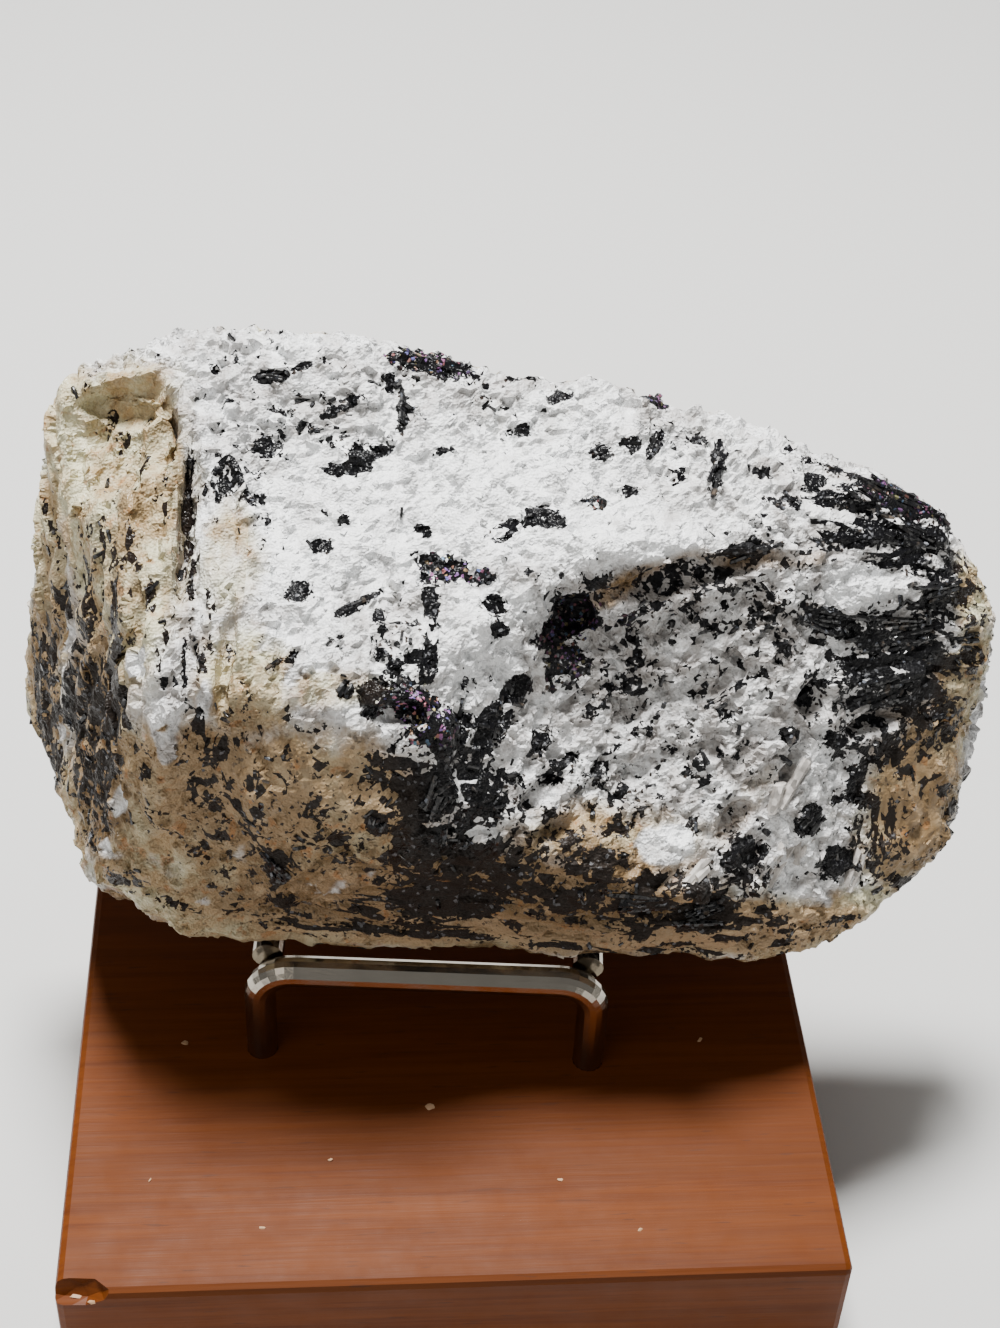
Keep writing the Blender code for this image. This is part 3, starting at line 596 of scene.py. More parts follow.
def rock_material(settings):
    """Quartz with tourmaline grown in it: the attributes say where, the cells say how."""
    material, tree, shader = new_material("quartz with tourmaline")
    coords = object_coords(tree)
    running = run_of_grain(tree, coords)
    coarse_height, coarse = facets(tree, running, COARSE_CELLS, 0.9)
    fine_height, fine = facets(tree, running, FINE_CELLS, 1.1)
    dust = split_colour(tree, cells(tree, coords, DUST_CELLS).outputs["Color"])
    cloud = fine_noise(tree, running, 330.0, detail=4.0, roughness=0.6)
    milk = fine_noise(tree, coords, 260.0, detail=4.0, roughness=0.7)
    black = ore_share(tree, coarse, fine, cloud, dust)

    # The tan attribute carries iron stain and also painted shade under the crest and on faces that
    # turn downwards, so this mask does too.
    stain_and_shade = add_shares(tree, math_node(tree, "SUBTRACT", attribute(tree, "tan"), 0.55),
                       (fine_noise(tree, running, 170.0, detail=5.0, roughness=0.72), 1.1))
    stain_and_shade = ramp_between(tree, stain_and_shade, 0.14, 0.62)
    quartz = mix_colour(tree, stain_and_shade, clean_tone(tree, settings, milk, fine),
                        stained_and_shaded_tone(tree, settings, coords, running, milk))
    near_ore = ramp_between(tree, attribute(tree, "ore"), 0.10, 0.36)
    speck = math_node(tree, "MULTIPLY", ramp_between(tree, dust[0], 0.93, 0.94), near_ore)
    quartz = mix_colour(tree, speck, quartz, DARK_SPECK)

    ore_tone = mix_colour(tree, stain_and_shade, settings.tourmaline, STAINED_ORE)
    # Painted glints: pale grey spots on the black tourmaline.
    painted_sparkle = ramp_between(tree, dust[1], 0.95, 0.97, 0.0, 0.24)
    ore_tone = mix_colour(tree, painted_sparkle, ore_tone, (0.40, 0.41, 0.44))
    # Painted glints of purple, green and gold where the glint attribute says.
    ore_tone = coloured_glints(tree, dust, ore_tone)

    ore_rough = add_shares(tree, ramp_between(tree, dust[2], 0.0, 1.0, 0.14, 0.40),
                           (attribute(tree, "low"), 0.40))
    rough = by_share(tree, black, ramp_between(tree, fine[2], 0.0, 1.0, 0.24, 0.60), ore_rough)
    sugar = fine_noise(tree, coords, 4200.0, detail=0.0)
    relief = add_shares(tree, math_node(tree, "ADD", coarse_height, fine_height),
                        (sugar, 0.00022))
    flatness = ramp_between(tree, attribute(tree, "smooth"), 0.2, 0.9, 1.0, 0.2)
    relief = math_node(tree, "MULTIPLY", relief, flatness)
    paint(tree, shader, Base_Color=mix_colour(tree, black, quartz, ore_tone), Roughness=rough,
          Normal=bump_chain(tree, (relief, 1.0, 0.75)))
    shader.inputs["Specular IOR Level"].default_value = 0.22
    return material


def coloured_glints(tree, parts, tone):
    """Painted glints: a few purple, green and gold crystal faces, where the attribute says."""
    chosen = ramp_between(tree, parts[0], 0.84, 0.86)
    chosen = math_node(tree, "MULTIPLY", chosen, attribute(tree, "glint"))
    hue = math_node(tree, "FRACT", ramp_between(tree, parts[1], 0.0, 1.0, 0.56, 1.16))
    hue = add_node(tree, "ShaderNodeCombineColor", {0: hue, 1: 0.62, 2: 0.50},
                   mode="HSV").outputs[0]
    return mix_colour(tree, chosen, tone, hue)


def tourmaline_material(settings):
    """Glossy black crystal with fine grooves and a few painted glints."""
    material, tree, shader = new_material("black tourmaline")
    coords = object_coords(tree)
    height, parts = facets(tree, coords, 2600.0, 1.4)
    # Painted glints: pale blue-grey spots on the black.
    painted_sparkle = ramp_between(tree, parts[0], 0.94, 0.97, 0.0, 0.30)
    tone = mix_colour(tree, painted_sparkle, settings.tourmaline, (0.36, 0.39, 0.46))
    dusty = ramp_between(tree, fine_noise(tree, coords, 700.0, detail=4.0), 0.60, 0.70, 0.0, 0.6)
    tone = mix_colour(tree, dusty, tone, ORE_DUST)
    paint(tree, shader, Base_Color=coloured_glints(tree, parts, tone),
          Roughness=ramp_between(tree, parts[1], 0.0, 1.0, 0.12, 0.42),
          Normal=bump_chain(tree, (height, 1.0, 0.7)))
    shader.inputs["Specular IOR Level"].default_value = 0.6
    return material


def blade_material():
    """Pale quartz blades: half clear, glassy on some faces."""
    material, tree, shader = new_material("quartz blade")
    coords = object_coords(tree)
    height, parts = facets(tree, coords, 1100.0, 0.9)
    tone = fine_noise(tree, coords, 420.0, detail=4.0, roughness=0.65)
    blended = mix_colour(tree, ramp_between(tree, tone, 0.36, 0.56), scaled(BLADE, 0.5), BLADE)
    paint(tree, shader, Base_Color=blended,
          Roughness=ramp_between(tree, parts[0], 0.0, 1.0, 0.14, 0.50),
          Normal=bump_chain(tree, (height, 1.0, 0.8)))
    shader.inputs["Specular IOR Level"].default_value = 0.55
    return material


def wood_material(settings):
    """Varnished wood with its grain along X, darker bands and streaks, and pores."""
    material, tree, shader = new_material("varnished wood")
    along = object_coords(tree, scale=(0.06, 1.0, 1.0))
    closer = object_coords(tree, scale=(0.035, 1.0, 1.0))
    bands = fine_noise(tree, along, 150.0, detail=5.0, roughness=0.6, distortion=0.6)
    fibres = fine_noise(tree, closer, 1500.0, detail=3.0, roughness=0.6)
    streaks = fine_noise(tree, closer, 520.0, detail=4.0, roughness=0.65)
    base = mix_colour(tree, ramp_between(tree, bands, 0.34, 0.66), settings.wood,
                      scaled(settings.wood, 0.72))
    for share in (ramp_between(tree, streaks, 0.56, 0.74, 0.0, 0.75),
                  ramp_between(tree, fibres, 0.40, 0.70, 0.0, 0.45)):
        base = mix_colour(tree, share, base, settings.dark_grain)
    pores = fine_noise(tree, object_coords(tree, scale=(0.10, 1.0, 1.0)), 2600.0, detail=1.0)
    pore = ramp_between(tree, pores, 0.70, 0.76, 0.0, 0.8)
    varnish = fine_noise(tree, object_coords(tree), 260.0, detail=4.0)
    paint(tree, shader, Base_Color=mix_colour(tree, pore, base, PORE),
          Roughness=ramp_between(tree, varnish, 0.3, 0.7, 0.44, 0.58),
          Normal=bump_chain(tree, (fibres, 0.00006, 0.6), (pore, 0.00008, -0.6)))
    shader.inputs["Specular IOR Level"].default_value = 0.10
    shader.inputs["Coat Weight"].default_value = 0.03
    shader.inputs["Coat Roughness"].default_value = 0.25
    return material


def metal_material(settings):
    """Polished rod with fine rubbing marks and a little dulling."""
    material, tree, shader = new_material("polished rod")
    coords = object_coords(tree)
    cloud = fine_noise(tree, coords, 240.0, detail=5.0)
    colour = mix_colour(tree, ramp_between(tree, cloud, 0.52, 0.75, 0.0, 0.5), settings.metal,
                        scaled(settings.metal, 0.55))
    marks = fine_noise(tree, coords, 4200.0, detail=2.0)
    paint(tree, shader, Base_Color=colour,
          Roughness=ramp_between(tree, cloud, 0.3, 0.7, 0.10, 0.24),
          Normal=bump_chain(tree, (marks, 0.00002, 0.4)))
    shader.inputs["Metallic"].default_value = 1.0
    return material


# The stone

def merged_copy(node_name):
    """A mesh copied from a CAD node, with its doubled points merged."""
    work = bmesh.new()
    work.from_mesh(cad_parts[node_name].data)
    bmesh.ops.remove_doubles(work, verts=work.verts, dist=MERGE_DISTANCE)
    bmesh.ops.recalc_face_normals(work, faces=work.faces)
    mesh = bpy.data.meshes.new(node_name + " copy")
    work.to_mesh(mesh)
    work.free()
    return mesh


def finish_modifiers(item):
    """Turn an object's evaluated shape into its own plain mesh, with no modifier left."""
    graph = bpy.context.evaluated_depsgraph_get()
    graph.update()
    mesh = bpy.data.meshes.new_from_object(item.evaluated_get(graph), depsgraph=graph)
    item.modifiers.clear()
    old = item.data
    item.data = mesh
    bpy.data.meshes.remove(old)
    return item


def link_object(name, mesh):
    """A new object at the origin."""
    item = bpy.data.objects.new(name, mesh)
    bpy.context.scene.collection.objects.link(item)
    return item


def photo_ray(across, down):
    """The direction from the camera through a pixel of the photograph."""
    ray = CAMERA_AHEAD + CAMERA_RIGHT * ((across - PHOTO_CENTRE[0]) / PHOTO_FOCAL)
    ray = ray - CAMERA_UP * ((down - PHOTO_CENTRE[1]) / PHOTO_FOCAL)
    return ray.normalized()


def node_tree(name):
    """A CAD node's mesh as a tree that rays can be cast at."""
    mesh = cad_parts[name].data
    points = [vert.co.copy() for vert in mesh.vertices]
    return BVHTree.FromPolygons(points, [face.vertices[:] for face in mesh.polygons])


def under_pixel(tree, across, down):
    """The point that a pixel shows, its outward normal, and metres per pixel there.

    A pixel just off the edge gives the nearest point of the surface.
    """
    ray = photo_ray(across, down)
    hit, normal, _, distance = tree.ray_cast(CAMERA_PLACE, ray)
    if hit is None:
        tries = [tree.find_nearest(CAMERA_PLACE + ray * reach)
                 for reach in np.arange(NEAR_STONE, FAR_STONE, LOOK_STEP)]
        hit, normal, _, _ = min(tries, key=lambda found: found[3])
        distance = (hit - CAMERA_PLACE).length
    if normal.dot(ray) > 0.0:
        normal = -normal
    return hit, normal, distance / PHOTO_FOCAL


def turned_axes(turn):
    """The picture's right and up, turned anticlockwise by an angle in degrees."""
    angle = math.radians(turn)
    along = CAMERA_RIGHT * math.cos(angle) + CAMERA_UP * math.sin(angle)
    across = CAMERA_UP * math.cos(angle) - CAMERA_RIGHT * math.sin(angle)
    return along, across


def patch_field(tree, points, patches):
    """The largest of a list of soft-edged patches at each point."""
    field = np.zeros(len(points))
    for across, down, half_length, half_width, turn, strength in patches:
        centre, _, pixel = under_pixel(tree, across, down)
        along, sideways = turned_axes(turn)
        offset = points - np.array(centre)
        length = offset @ np.array(along) / (half_length * pixel)
        width = offset @ np.array(sideways) / (half_width * pixel)
        half_depth = max(half_length, PATCH_DEPTH_PX) * pixel * PATCH_DEPTH_SHARE
        depth = offset @ np.array(CAMERA_AHEAD) / half_depth
        reach = np.sqrt(length ** 2 + width ** 2 + depth ** 2)
        field = np.maximum(field, strength * smooth_step(PATCH_END - reach, 0.0, PATCH_FADE))
    return field


def noise_values(points, size, depth=1, offset=(0.0, 0.0, 0.0)):
    """Smooth noise from -1 to 1 at each point, with swells of a given size in metres."""
    shift = Vector(offset)
    values = np.zeros(len(points))
    for number, point in enumerate(points):
        place = Vector(point) / size + shift
        value = noise.noise(place)
        for octave in range(1, depth):
            factor = 2.0 ** octave
            value += noise.noise(place * factor) / factor
        values[number] = value
    return values


def pulled(points, direction, factor):
    """Points squeezed along a direction, so that noise on them runs longer along it."""
    direction = np.array(direction)
    along = points @ direction
    return points + (1.0 / factor - 1.0) * along[:, None] * direction


def mesh_points(mesh, what="co"):
    """A mesh's points, or their normals, as an array."""
    values = np.empty(len(mesh.vertices) * 3)
    mesh.vertices.foreach_get(what, values)
    return values.reshape(-1, 3)


def store_values(mesh, name, values):
    """Keep one number for each point of a mesh."""
    layer = mesh.attributes.new(name, "FLOAT", "POINT")
    layer.data.foreach_set("value", values.astype(np.float32))


def facet_heights(points, size, tilt, shift=0.0):
    """Angular grains of a given size: how far each stands out, in metres, flat but tilted."""
    heights = np.zeros(len(points))
    for number, point in enumerate(points):
        place = Vector(point) / size + Vector((shift, shift, shift))
        _, centres = noise.voronoi(place)
        centre = centres[0]
        lean = noise.cell_vector(centre * 7.31) - Vector((0.5, 0.5, 0.5))
        heights[number] = tilt * lean.dot(place - centre) + 0.5 * lean.x
    return heights * size


def smooth_step(values, low, high):
    """0 below low, 1 above high, and smooth between."""
    share = np.clip((values - low) / (high - low), 0.0, 1.0)
    return share * share * (3.0 - 2.0 * share)


def stone_fields(tree, points, normals):
    """Where tourmaline, iron stain and bright quartz lie, where light and shade are painted, and
    which way the grain runs.
    """
    facing = normals @ -np.array(CAMERA_AHEAD)
    unseen = np.clip((0.10 - facing) / 0.30, 0.0, 1.0)
    black = BLACK_TOP + BLACK_SCOOP + BLACK_RIGHT_END + BLACK_CENTRE + BLACK_LOW + BLACK_LEFT
    placed = patch_field(tree, points, black)
    ragged = noise_values(points, RAGGED_SIZE, depth=3, offset=(1.0, 6.0, 2.0))
    cleared = patch_field(tree, points, WHITE_PATCHES)
    cleared = np.clip(cleared + 0.45 * ragged * (cleared > 0.0), 0.0, 1.0)
    # Painted shade, partly over dull quartz: below, under the crest and in the hollow.
    low = patch_field(tree, points, LOW_PATCHES)
    blotches = noise_values(points, BLOTCH_SIZE, depth=3, offset=(3.1, 7.7, 1.3))
    back_ore = np.clip(0.36 + 0.95 * blotches, 0.0, 0.95) * unseen
    # Partly whiter quartz, partly painted light on the top face.
    bright = patch_field(tree, points, BRIGHT_PATCHES)
    sprinkle = 0.13 + 0.16 * noise_values(points, SPRINKLE_SIZE, depth=2, offset=(9.0, 2.0, 4.0))
    hollow = patch_field(tree, points, HOLLOW_PATCHES)
    sprinkle = sprinkle + 0.14 * low - 0.16 * bright + 0.15 * hollow
    ore = np.maximum(placed, back_ore)
    ore = np.maximum(ore, sprinkle) - 0.45 * cleared
    tan = patch_field(tree, points, TAN_PATCHES)
    back_tan = np.clip(0.38 + 0.8 * noise_values(points, STAIN_SIZE, depth=3), 0.0, 1.0)
    tan = np.maximum(tan, back_tan * unseen) - 0.8 * smooth_step(cleared, 0.40, 1.0)
    # Painted shade: faces that turn downwards are made tan, dull and dark.
    shaded_underside = smooth_step(-normals[:, 2], 0.2, 0.7)
    return {
        "ore": ore,
        "tan": np.maximum(tan, 0.8 * shaded_underside),
        "bright": bright,
        "low": np.maximum(low, 0.7 * shaded_underside),
        "deep": np.maximum(patch_field(tree, points, DEEP_PATCHES), shaded_underside),
        "level": patch_field(tree, points, LEVEL_PATCHES),
        "upright": patch_field(tree, points, UPRIGHT_PATCHES),
        "slanted": patch_field(tree, points, SLANTED_PATCHES),
        "glint": patch_field(tree, points, GLINT_PATCHES),
        "dig": patch_field(tree, points, DUG_PATCHES),
        "smooth": patch_field(tree, points, SMOOTH_PATCHES),
    }


def shape_surface(mesh, fields, settings):
    """Push the fine surface into grains, flutes, layers and grooves."""
    points = mesh_points(mesh)
    normals = mesh_points(mesh, "normal")
    is_ore = smooth_step(fields["ore"], 0.42, 0.62)
    is_tan = smooth_step(fields["tan"], 0.2, 0.7)
    level, upright, slanted = (fields[name] for name in ("level", "upright", "slanted"))
    sugary = (1.0 - 0.75 * is_ore) * (1.0 - 0.5 * is_tan) * (1.0 - 0.45 * fields["bright"])
    sugary = sugary * (1.0 - 0.6 * np.maximum(level, upright))
    grain = settings.grain
    offset = settings.relief * sugary * facet_heights(points, grain, 1.6)
    offset += 0.6 * settings.relief * sugary * facet_heights(points, grain * 0.5, 1.6, 4.0)
    offset += SWELL_HEIGHT * noise_values(points, SWELL_SIZE, depth=2, offset=(5.0, 5.0, 5.0))
    layers = facet_heights(pulled(points, LEVEL_RUN, 6.0), LAYER_SIZE, 1.0, shift=2.0)
    offset += 0.75 * np.maximum(level, 0.6 * is_ore * (1.0 - upright)) * layers
    flutes = facet_heights(pulled(points, UPRIGHT_RUN, 6.0), FLUTE_SIZE, 1.2, shift=3.0)
    offset += 0.70 * upright * flutes
    slants = facet_heights(pulled(points, SLANTED_RUN, 3.5), SLANT_SIZE, 1.2, shift=6.0)
    offset += 0.55 * slanted * slants
    offset *= 1.0 - 0.8 * fields["smooth"]
    offset += DIG_DEPTH * smooth_step(fields["dig"], 0.15, 0.85)
    moved = points + normals * np.minimum(offset, HIGHEST_GRAIN)[:, None]
    mesh.vertices.foreach_set("co", moved.ravel())
    mesh.update()


def make_stone(settings):
    """The stone's fine surface, in place of the faceted solid."""
    item = link_object("stone_body", merged_copy("stone"))
    add_blocks(item.data, WHITE_BLOCKS, 7)
    remesh = item.modifiers.new("fine", "REMESH")
    remesh.mode = "VOXEL"
    remesh.voxel_size = settings.voxel
    remesh.use_smooth_shade = False
    finish_modifiers(item)
    tree = node_tree("stone")
    mesh = item.data
    fields = stone_fields(tree, mesh_points(mesh), mesh_points(mesh, "normal"))
    shape_surface(mesh, fields, settings)
    for name in PAINTED_FIELDS:
        store_values(mesh, name, fields[name])
    mesh.materials.clear()
    mesh.materials.append(rock_material(settings))
    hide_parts("stone")
    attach(item, "root")
    return item


# Crystals placed one by one

def lying_axes(normal, turn):
    """Turned picture axes laid on the surface: along and sideways."""
    along, _ = turned_axes(turn)
    along = (along - normal * along.dot(normal)).normalized()
    return along, normal.cross(along)


def add_hull(work, corners):
    """Close a cloud of points into a convex block, and drop the points inside it."""
    hull = bmesh.ops.convex_hull(work, input=corners)
    spare = {part for part in hull["geom_interior"] + hull["geom_unused"]
             if isinstance(part, bmesh.types.BMVert)}
    bmesh.ops.delete(work, geom=list(spare), context="VERTS")


def add_prism(work, centre, along, outward, length, width, thickness, lean):
    """A six-sided crystal lying on the surface, its ends cut at a slant."""
    sideways = along.cross(outward).normalized()
    rings = []
    for end in (-0.5, 0.5):
        ring = []
        for corner in range(6):
            angle = math.pi * (corner + 0.5) / 3.0
            across = math.cos(angle) * width / 2
            height = math.sin(angle) * thickness / 2
            slant = across * lean
            place = centre + along * (length * end + slant) + sideways * across
            ring.append(work.verts.new(place + outward * height))
        rings.append(ring)
    first, second = rings
    for corner in range(6):
        following = (corner + 1) % 6
        work.faces.new((first[corner], first[following], second[following], second[corner]))
    work.faces.new(first)
    work.faces.new(tuple(reversed(second)))


def bundle_mesh(name, bundles, seed, sink):
    """Crystals side by side, in bundles that lie on the stone where the photograph shows them."""
    tree = node_tree("stone")
    chance = np.random.default_rng(seed)
    work = bmesh.new()
    for across, down, length, width, turn, count in bundles:
        centre, normal, pixel = under_pixel(tree, across, down)
        along, sideways = lying_axes(normal, turn)
        each = width * pixel / count
        for number in range(count):
            shift = (number + 0.5 - count / 2) * each
            slide = chance.uniform(-0.22, 0.22) * length * pixel
            run = length * pixel * chance.uniform(0.45, 1.0)
            guess = centre + sideways * shift + along * slide
            spot, spot_normal, _, _ = tree.find_nearest(guess)
            if spot_normal.dot(normal) < 0.0:
                spot_normal = -spot_normal
            outward = (spot_normal + normal).normalized()
            crossing = math.radians(chance.normal(0.0, CROSSING))
            lying = along * math.cos(crossing) + sideways * math.sin(crossing)
            lying = (lying - outward * lying.dot(outward)).normalized()
            thick = each * chance.uniform(0.9, 1.5)
            place = spot - outward * (thick * chance.uniform(*sink))
            add_prism(work, place, lying, outward, run, each * chance.uniform(1.0, 1.35),
                      thick, chance.uniform(-0.6, 0.6))
    bmesh.ops.recalc_face_normals(work, faces=work.faces)
    mesh = bpy.data.meshes.new(name)
    work.to_mesh(mesh)
    work.free()
    return mesh


def add_blocks(mesh, blocks, seed):
    """Angular blocks, each the hull of points on a rough box, half sunk in a stone's mesh."""
    tree = node_tree("stone")
    chance = np.random.default_rng(seed)
    work = bmesh.new()
    work.from_mesh(mesh)
    for across, down, length, width, turn, rise in blocks:
        centre, normal, pixel = under_pixel(tree, across, down)
        along, sideways = lying_axes(normal, turn)
        half = (length * pixel / 2, width * pixel / 2, rise * pixel / 2)
        corners = []
        for _ in range(HULL_POINTS):
            place = Vector(chance.uniform(-1.0, 1.0, 3))
            place = place / max(abs(part) for part in place) * chance.uniform(0.82, 1.0)
            spot = centre + along * (place.x * half[0]) + sideways * (place.y * half[1])
            corners.append(work.verts.new(spot + normal * ((place.z - HULL_SUNK) * half[2])))
        add_hull(work, corners)
    work.to_mesh(mesh)
    work.free()


# Crystals strewn by Geometry Nodes

def needle_shape(tree):
    """A six-sided needle of unit length that lies along the surface."""
    crystal = add_node(tree, "GeometryNodeMeshCylinder",
                       {"Vertices": 6, "Radius": NEEDLE_RADIUS, "Depth": 1.0})
    turned = add_node(tree, "GeometryNodeTransform",
                      {"Geometry": crystal.outputs["Mesh"],
                       "Rotation": (math.pi / 2, 0.0, 0.0)})
    return turned.outputs["Geometry"]


def chip_shape(tree):
    """A sheared block of unit size, like a broken grain of quartz."""
    block = add_node(tree, "GeometryNodeMeshCube", {"Size": (1.0, 0.8, 0.6)})
    jitter = add_node(tree, "ShaderNodeTexNoise", {"Scale": 1.3}).outputs["Color"]
    centred = add_node(tree, "ShaderNodeVectorMath", {0: jitter, 1: (0.5, 0.5, 0.5)},
                       operation="SUBTRACT").outputs[0]
    push = add_node(tree, "ShaderNodeVectorMath", {0: centred, "Scale": 1.9},
                    operation="SCALE").outputs[0]
    moved = add_node(tree, "GeometryNodeSetPosition",
                     {"Geometry": block.outputs["Mesh"], "Offset": push})
    return moved.outputs["Geometry"]


def strewn_tree(name, material, seed, make_shape, tip):
    """A tree that strews small crystals over a surface where its density says."""
    tree = bpy.data.node_groups.new(name, "GeometryNodeTree")
    face = tree.interface
    face.new_socket("Surface", in_out="INPUT", socket_type="NodeSocketGeometry")
    for label in ("Count per square metre", "Smallest", "Largest"):
        face.new_socket(label, in_out="INPUT", socket_type="NodeSocketFloat")
    face.new_socket("Crystals", in_out="OUTPUT", socket_type="NodeSocketGeometry")
    source = tree.nodes.new("NodeGroupInput")
    result = tree.nodes.new("NodeGroupOutput")
    share = add_node(tree, "GeometryNodeInputNamedAttribute", {"Name": "strew"},
                     data_type="FLOAT").outputs["Attribute"]
    density = math_node(tree, "MULTIPLY", share, source.outputs["Count per square metre"])
    spread = add_node(tree, "GeometryNodeDistributePointsOnFaces",
                      {"Mesh": source.outputs["Surface"], "Density": density, "Seed": seed},
                      distribute_method="RANDOM")
    spin = add_node(tree, "FunctionNodeRandomValue",
                    {"Min": (-tip, -tip, -math.pi), "Max": (tip, tip, math.pi),
                     "Seed": seed + 1}, data_type="FLOAT_VECTOR").outputs["Value"]
    spun = add_node(tree, "FunctionNodeEulerToRotation", {"Euler": spin}).outputs[0]
    turned = add_node(tree, "FunctionNodeRotateRotation",
                      {"Rotation": spread.outputs["Rotation"], "Rotate By": spun},
                      rotation_space="LOCAL").outputs[0]
    size = add_node(tree, "FunctionNodeRandomValue",
                    {2: source.outputs["Smallest"], 3: source.outputs["Largest"],
                     "Seed": seed + 2}, data_type="FLOAT").outputs[1]
    squash = add_node(tree, "FunctionNodeRandomValue",
                      {"Min": (0.7, 0.7, 0.55), "Max": (1.2, 1.2, 1.2), "Seed": seed + 3},
                      data_type="FLOAT_VECTOR").outputs["Value"]
    scale = add_node(tree, "ShaderNodeVectorMath", {0: squash, "Scale": size},
                     operation="SCALE").outputs[0]
    placed = add_node(tree, "GeometryNodeInstanceOnPoints",
                      {"Points": spread.outputs["Points"], "Instance": make_shape(tree),
                       "Rotation": turned, "Scale": scale})
    real = add_node(tree, "GeometryNodeRealizeInstances",
                    {"Geometry": placed.outputs["Instances"]})
    painted = add_node(tree, "GeometryNodeSetMaterial",
                       {"Geometry": real.outputs["Geometry"], "Material": material})
    tree.links.new(painted.outputs["Geometry"], result.inputs["Crystals"])
    return tree


def set_tree_input(modifier, name, value):
    """Set a Geometry Nodes modifier's input by its socket's identifier."""
    for socket in modifier.node_group.interface.items_tree:
        if socket.item_type == "SOCKET" and socket.in_out == "INPUT" and socket.name == name:
            modifier[socket.identifier] = value


def strew(name, stone, share, tree, count, sizes):
    """Strew crystals over the stone by a share at each point, and keep them as a plain mesh."""
    mesh = stone.data.copy()
    store_values(mesh, "strew", share)
    item = link_object(name, mesh)
    area = sum(face.area for face in mesh.polygons)
    modifier = item.modifiers.new("strew", "NODES")
    modifier.node_group = tree
    set_tree_input(modifier, "Count per square metre", count / area)
    set_tree_input(modifier, "Smallest", sizes[0])
    set_tree_input(modifier, "Largest", sizes[1])
    finish_modifiers(item)
    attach(item, "root")
    return item


def stone_values(stone, name):
    """A number stored on the stone's points."""
    values = np.empty(len(stone.data.vertices), np.float32)
    stone.data.attributes[name].data.foreach_get("value", values)
    return values


# The stand

def make_block(material):
    """The wooden block, its holes closed up round the rods as in the photograph."""
    mesh = merged_copy("display_block")
    feet = {}
    for name in ("front_rod", "back_rest_rod"):
        points = [vert.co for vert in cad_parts[name].data.vertices]
        lowest = min(point.z for point in points)
        ends = [point for point in points if point.z < lowest + FOOT_HEIGHT]
        middle = sum((point.x for point in ends)) / len(ends)
        for side in (-1, 1):
            foot = [point for point in ends if (point.x - middle) * side > 0.0]
            feet[name, side] = sum(foot, Vector()) / len(foot)
    for vert in mesh.vertices:
        for (name, _), foot in feet.items():
            climb = REST_SLOPE * (vert.co.z - foot.z) if name == "back_rest_rod" else 0.0
            axis = Vector((foot.x, foot.y, 0.0)) + REST_WAY * climb
            offset = Vector((vert.co.x - axis.x, vert.co.y - axis.y, 0.0))
            if offset.length < HOLE_REACH:
                vert.co -= offset * HOLE_CLOSING
    item = link_object("wood_block", mesh)
    mesh.materials.clear()
    mesh.materials.append(material)
    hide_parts("display_block")
    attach(item, "root")
    return item


def make_flakes():
    """Small splinters and flecks of varnish that stand up from the block."""
    tree = node_tree("display_block")
    chance = np.random.default_rng(3)
    work = bmesh.new()
    for across, down, length, width, turn in WOOD_FLAKES:
        centre, normal, pixel = under_pixel(tree, across, down)
        along, sideways = lying_axes(normal, turn)
        corners = []
        for _ in range(HULL_POINTS):
            swing = chance.uniform(0.0, 2 * math.pi)
            reach = chance.uniform(0.6, 1.0)
            spot = centre + along * (math.cos(swing) * reach * length * pixel / 2)
            spot += sideways * (math.sin(swing) * reach * width * pixel / 2)
            corners.append(work.verts.new(spot + normal * chance.uniform(-1.0, 1.0)
                                          * FLAKE_THICKNESS))
        add_hull(work, corners)
    bmesh.ops.recalc_face_normals(work, faces=work.faces)
    mesh = bpy.data.meshes.new("wood_flakes")
    work.to_mesh(mesh)
    work.free()
    item = link_object("wood_flakes", mesh)
    material, _, shader = new_material("raised fibres")
    shader.inputs["Base Color"].default_value = RAISED_FIBRE
    shader.inputs["Roughness"].default_value = 0.6
    mesh.materials.append(material)
    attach(item, "root")


# The stage

def make_floor(settings):
    """A plain pale floor."""
    half = FLOOR_HALF
    corners = ((-half, -half, 0.0), (half, -half, 0.0), (half, half, 0.0), (-half, half, 0.0))
    mesh = bpy.data.meshes.new("floor")
    mesh.from_pydata(corners, [], [(0, 1, 2, 3)])
    floor = link_object("floor", mesh)
    material, _, shader = new_material("floor")
    shader.inputs["Base Color"].default_value = (*settings.floor, 1.0)
    shader.inputs["Roughness"].default_value = 0.85
    mesh.materials.append(material)


def add_area_light(name, place, target, watts, size, colour):
    """A square soft light that faces a point."""
    light = bpy.data.lights.new(name, "AREA")
    light.energy = watts
    light.size = size
    light.color = colour
    item = bpy.data.objects.new(name, light)
    bpy.context.scene.collection.objects.link(item)
    item.location = place
    item.rotation_euler = (Vector(target) - Vector(place)).to_track_quat("-Z", "Y").to_euler()


def make_lights(settings):
    """A key light high above the stone, a soft fill from the front, and even ambient light."""
    add_area_light("key", KEY_PLACE, MIDDLE, settings.key, KEY_SIZE, KEY_COLOUR)
    add_area_light("fill", FILL_PLACE, MIDDLE, settings.fill, FILL_SIZE, FILL_COLOUR)
    world = bpy.data.worlds.new("studio")
    world.use_nodes = True
    background = world.node_tree.nodes["Background"]
    background.inputs["Color"].default_value = SKY_COLOUR
    background.inputs["Strength"].default_value = settings.ambient
    bpy.context.scene.world = world


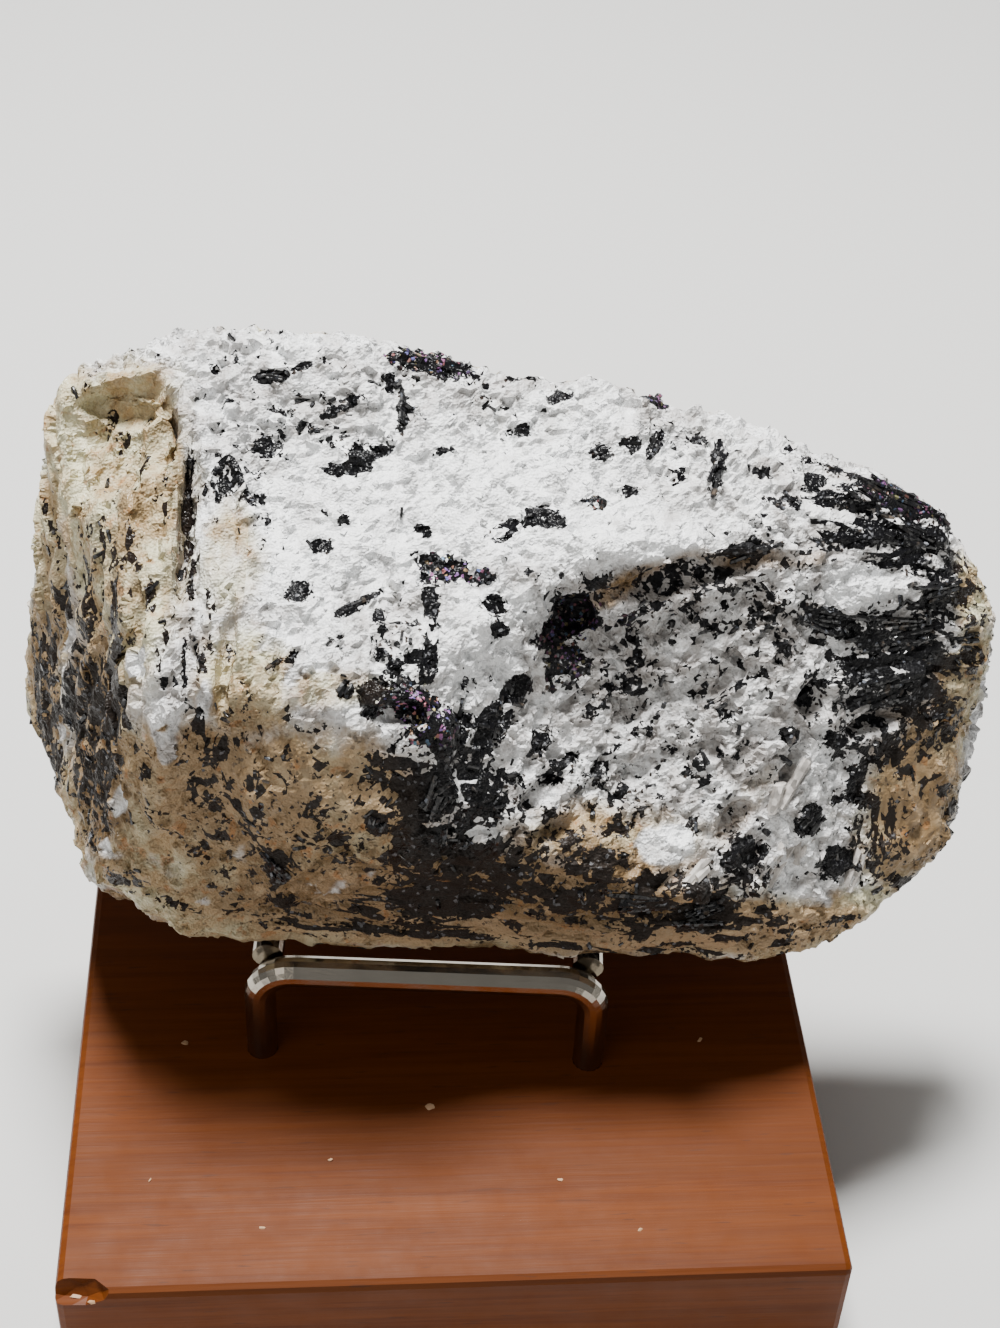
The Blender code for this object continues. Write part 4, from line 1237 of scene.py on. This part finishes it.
def make_camera():
    """The photograph's camera."""
    camera = bpy.data.cameras.new("camera")
    camera.sensor_width = SENSOR_WIDTH_MM
    camera.lens = PHOTO_FOCAL / PHOTO_LONG_SIDE * SENSOR_WIDTH_MM
    camera.clip_start = 0.01
    item = bpy.data.objects.new("camera", camera)
    bpy.context.scene.collection.objects.link(item)
    turn = Matrix((CAMERA_RIGHT, CAMERA_UP, -CAMERA_AHEAD)).transposed().to_4x4()
    item.matrix_world = Matrix.Translation(CAMERA_PLACE) @ turn
    bpy.context.scene.camera = item


# Operators and the panel

class SPECIMEN_OT_stone(Operator):
    """Make the stone's fine surface"""
    bl_idname = "specimen.stone"
    bl_label = "Stone"

    def execute(self, context):
        make_stone(context.scene.specimen_stone)
        return {"FINISHED"}


class SPECIMEN_OT_crystals(Operator):
    """Lay the larger tourmaline bundles and the pale quartz blades on the stone"""
    bl_idname = "specimen.crystals"
    bl_label = "Crystal bundles"

    def execute(self, context):
        settings = context.scene.specimen_stone
        bundles = link_object("tourmaline_bundles",
                              bundle_mesh("tourmaline_bundles", BUNDLES, 11, (0.10, 0.40)))
        store_values(bundles.data, "glint",
                     patch_field(node_tree("stone"), mesh_points(bundles.data), GLINT_PATCHES))
        bundles.data.materials.append(tourmaline_material(settings))
        blades = link_object("quartz_blades",
                             bundle_mesh("quartz_blades", PALE_BLADES, 5, (0.15, 0.35)))
        blades.data.materials.append(blade_material())
        for item in (bundles, blades):
            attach(item, "root")
        return {"FINISHED"}


class SPECIMEN_OT_strewn(Operator):
    """Strew small tourmaline needles and quartz chips over the stone"""
    bl_idname = "specimen.strewn"
    bl_label = "Needles and chips"

    def execute(self, context):
        settings = context.scene.specimen_stone
        stone = bpy.data.objects["stone_body"]
        ore, tan, low = (stone_values(stone, name) for name in ("ore", "tan", "low"))
        tourmaline = bpy.data.materials["black tourmaline"]
        tree = strewn_tree("strewn needles", tourmaline, 21, needle_shape, 0.25)
        share = np.clip(smooth_step(ore, 0.02, 0.6) + 0.02, 0.0, 1.0) * (1.0 - 0.5 * tan)
        strew("tourmaline_needles", stone, share, tree, settings.needles, NEEDLE_LENGTHS)
        tree = strewn_tree("strewn chips", stone.data.materials[0], 33, chip_shape, 0.4)
        share = (1.0 - smooth_step(ore, 0.3, 0.5)) * (1.0 - 0.6 * tan) * (1.0 - 0.5 * low)
        strew("quartz_chips", stone, share, tree, settings.chips, CHIP_SIZES)
        return {"FINISHED"}


class SPECIMEN_OT_stand(Operator):
    """Finish the wooden block and the rods"""
    bl_idname = "specimen.stand"
    bl_label = "Stand"

    def execute(self, context):
        settings = context.scene.specimen_stand
        make_block(wood_material(settings))
        make_flakes()
        metal = metal_material(settings)
        for name in ("front_rod", "back_rest_rod", "left_arm", "right_arm"):
            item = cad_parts[name]
            item.data.materials.clear()
            item.data.materials.append(metal)
        return {"FINISHED"}


class SPECIMEN_OT_stage(Operator):
    """Make the floor, the lights and the camera"""
    bl_idname = "specimen.stage"
    bl_label = "Stage"

    def execute(self, context):
        settings = context.scene.specimen_stage
        make_floor(settings)
        make_lights(settings)
        make_camera()
        return {"FINISHED"}


class SPECIMEN_PT_panel(Panel):
    """Lists the specimen's steps and settings"""
    bl_idname = "SPECIMEN_PT_panel"
    bl_label = "Specimen"
    bl_space_type = "VIEW_3D"
    bl_region_type = "UI"
    bl_category = "Specimen"

    def draw(self, context):
        layout = self.layout
        scene = context.scene
        for group in (scene.specimen_stone, scene.specimen_stand, scene.specimen_stage):
            box = layout.box()
            for name in group.__annotations__:
                box.prop(group, name)
        for operator in STEPS:
            layout.operator(operator.bl_idname)


STEPS = (SPECIMEN_OT_stage, SPECIMEN_OT_stand, SPECIMEN_OT_stone, SPECIMEN_OT_crystals,
         SPECIMEN_OT_strewn)
SETTINGS = (("specimen_stone", StoneSettings), ("specimen_stand", StandSettings),
            ("specimen_stage", StageSettings))


def register():
    """Register the classes and hang the settings on the scene."""
    for name, group in SETTINGS:
        bpy.utils.register_class(group)
        setattr(bpy.types.Scene, name, PointerProperty(type=group))
    for item in STEPS:
        bpy.utils.register_class(item)
    bpy.utils.register_class(SPECIMEN_PT_panel)


def unregister():
    """Undo register."""
    bpy.utils.unregister_class(SPECIMEN_PT_panel)
    for item in reversed(STEPS):
        bpy.utils.unregister_class(item)
    for name, group in reversed(SETTINGS):
        delattr(bpy.types.Scene, name)
        bpy.utils.unregister_class(group)


def main():
    """Build the whole scene."""
    register()
    bpy.ops.specimen.stage()
    bpy.ops.specimen.stand()
    bpy.ops.specimen.stone()
    bpy.ops.specimen.crystals()
    bpy.ops.specimen.strewn()


if __name__ == "__main__":
    main()
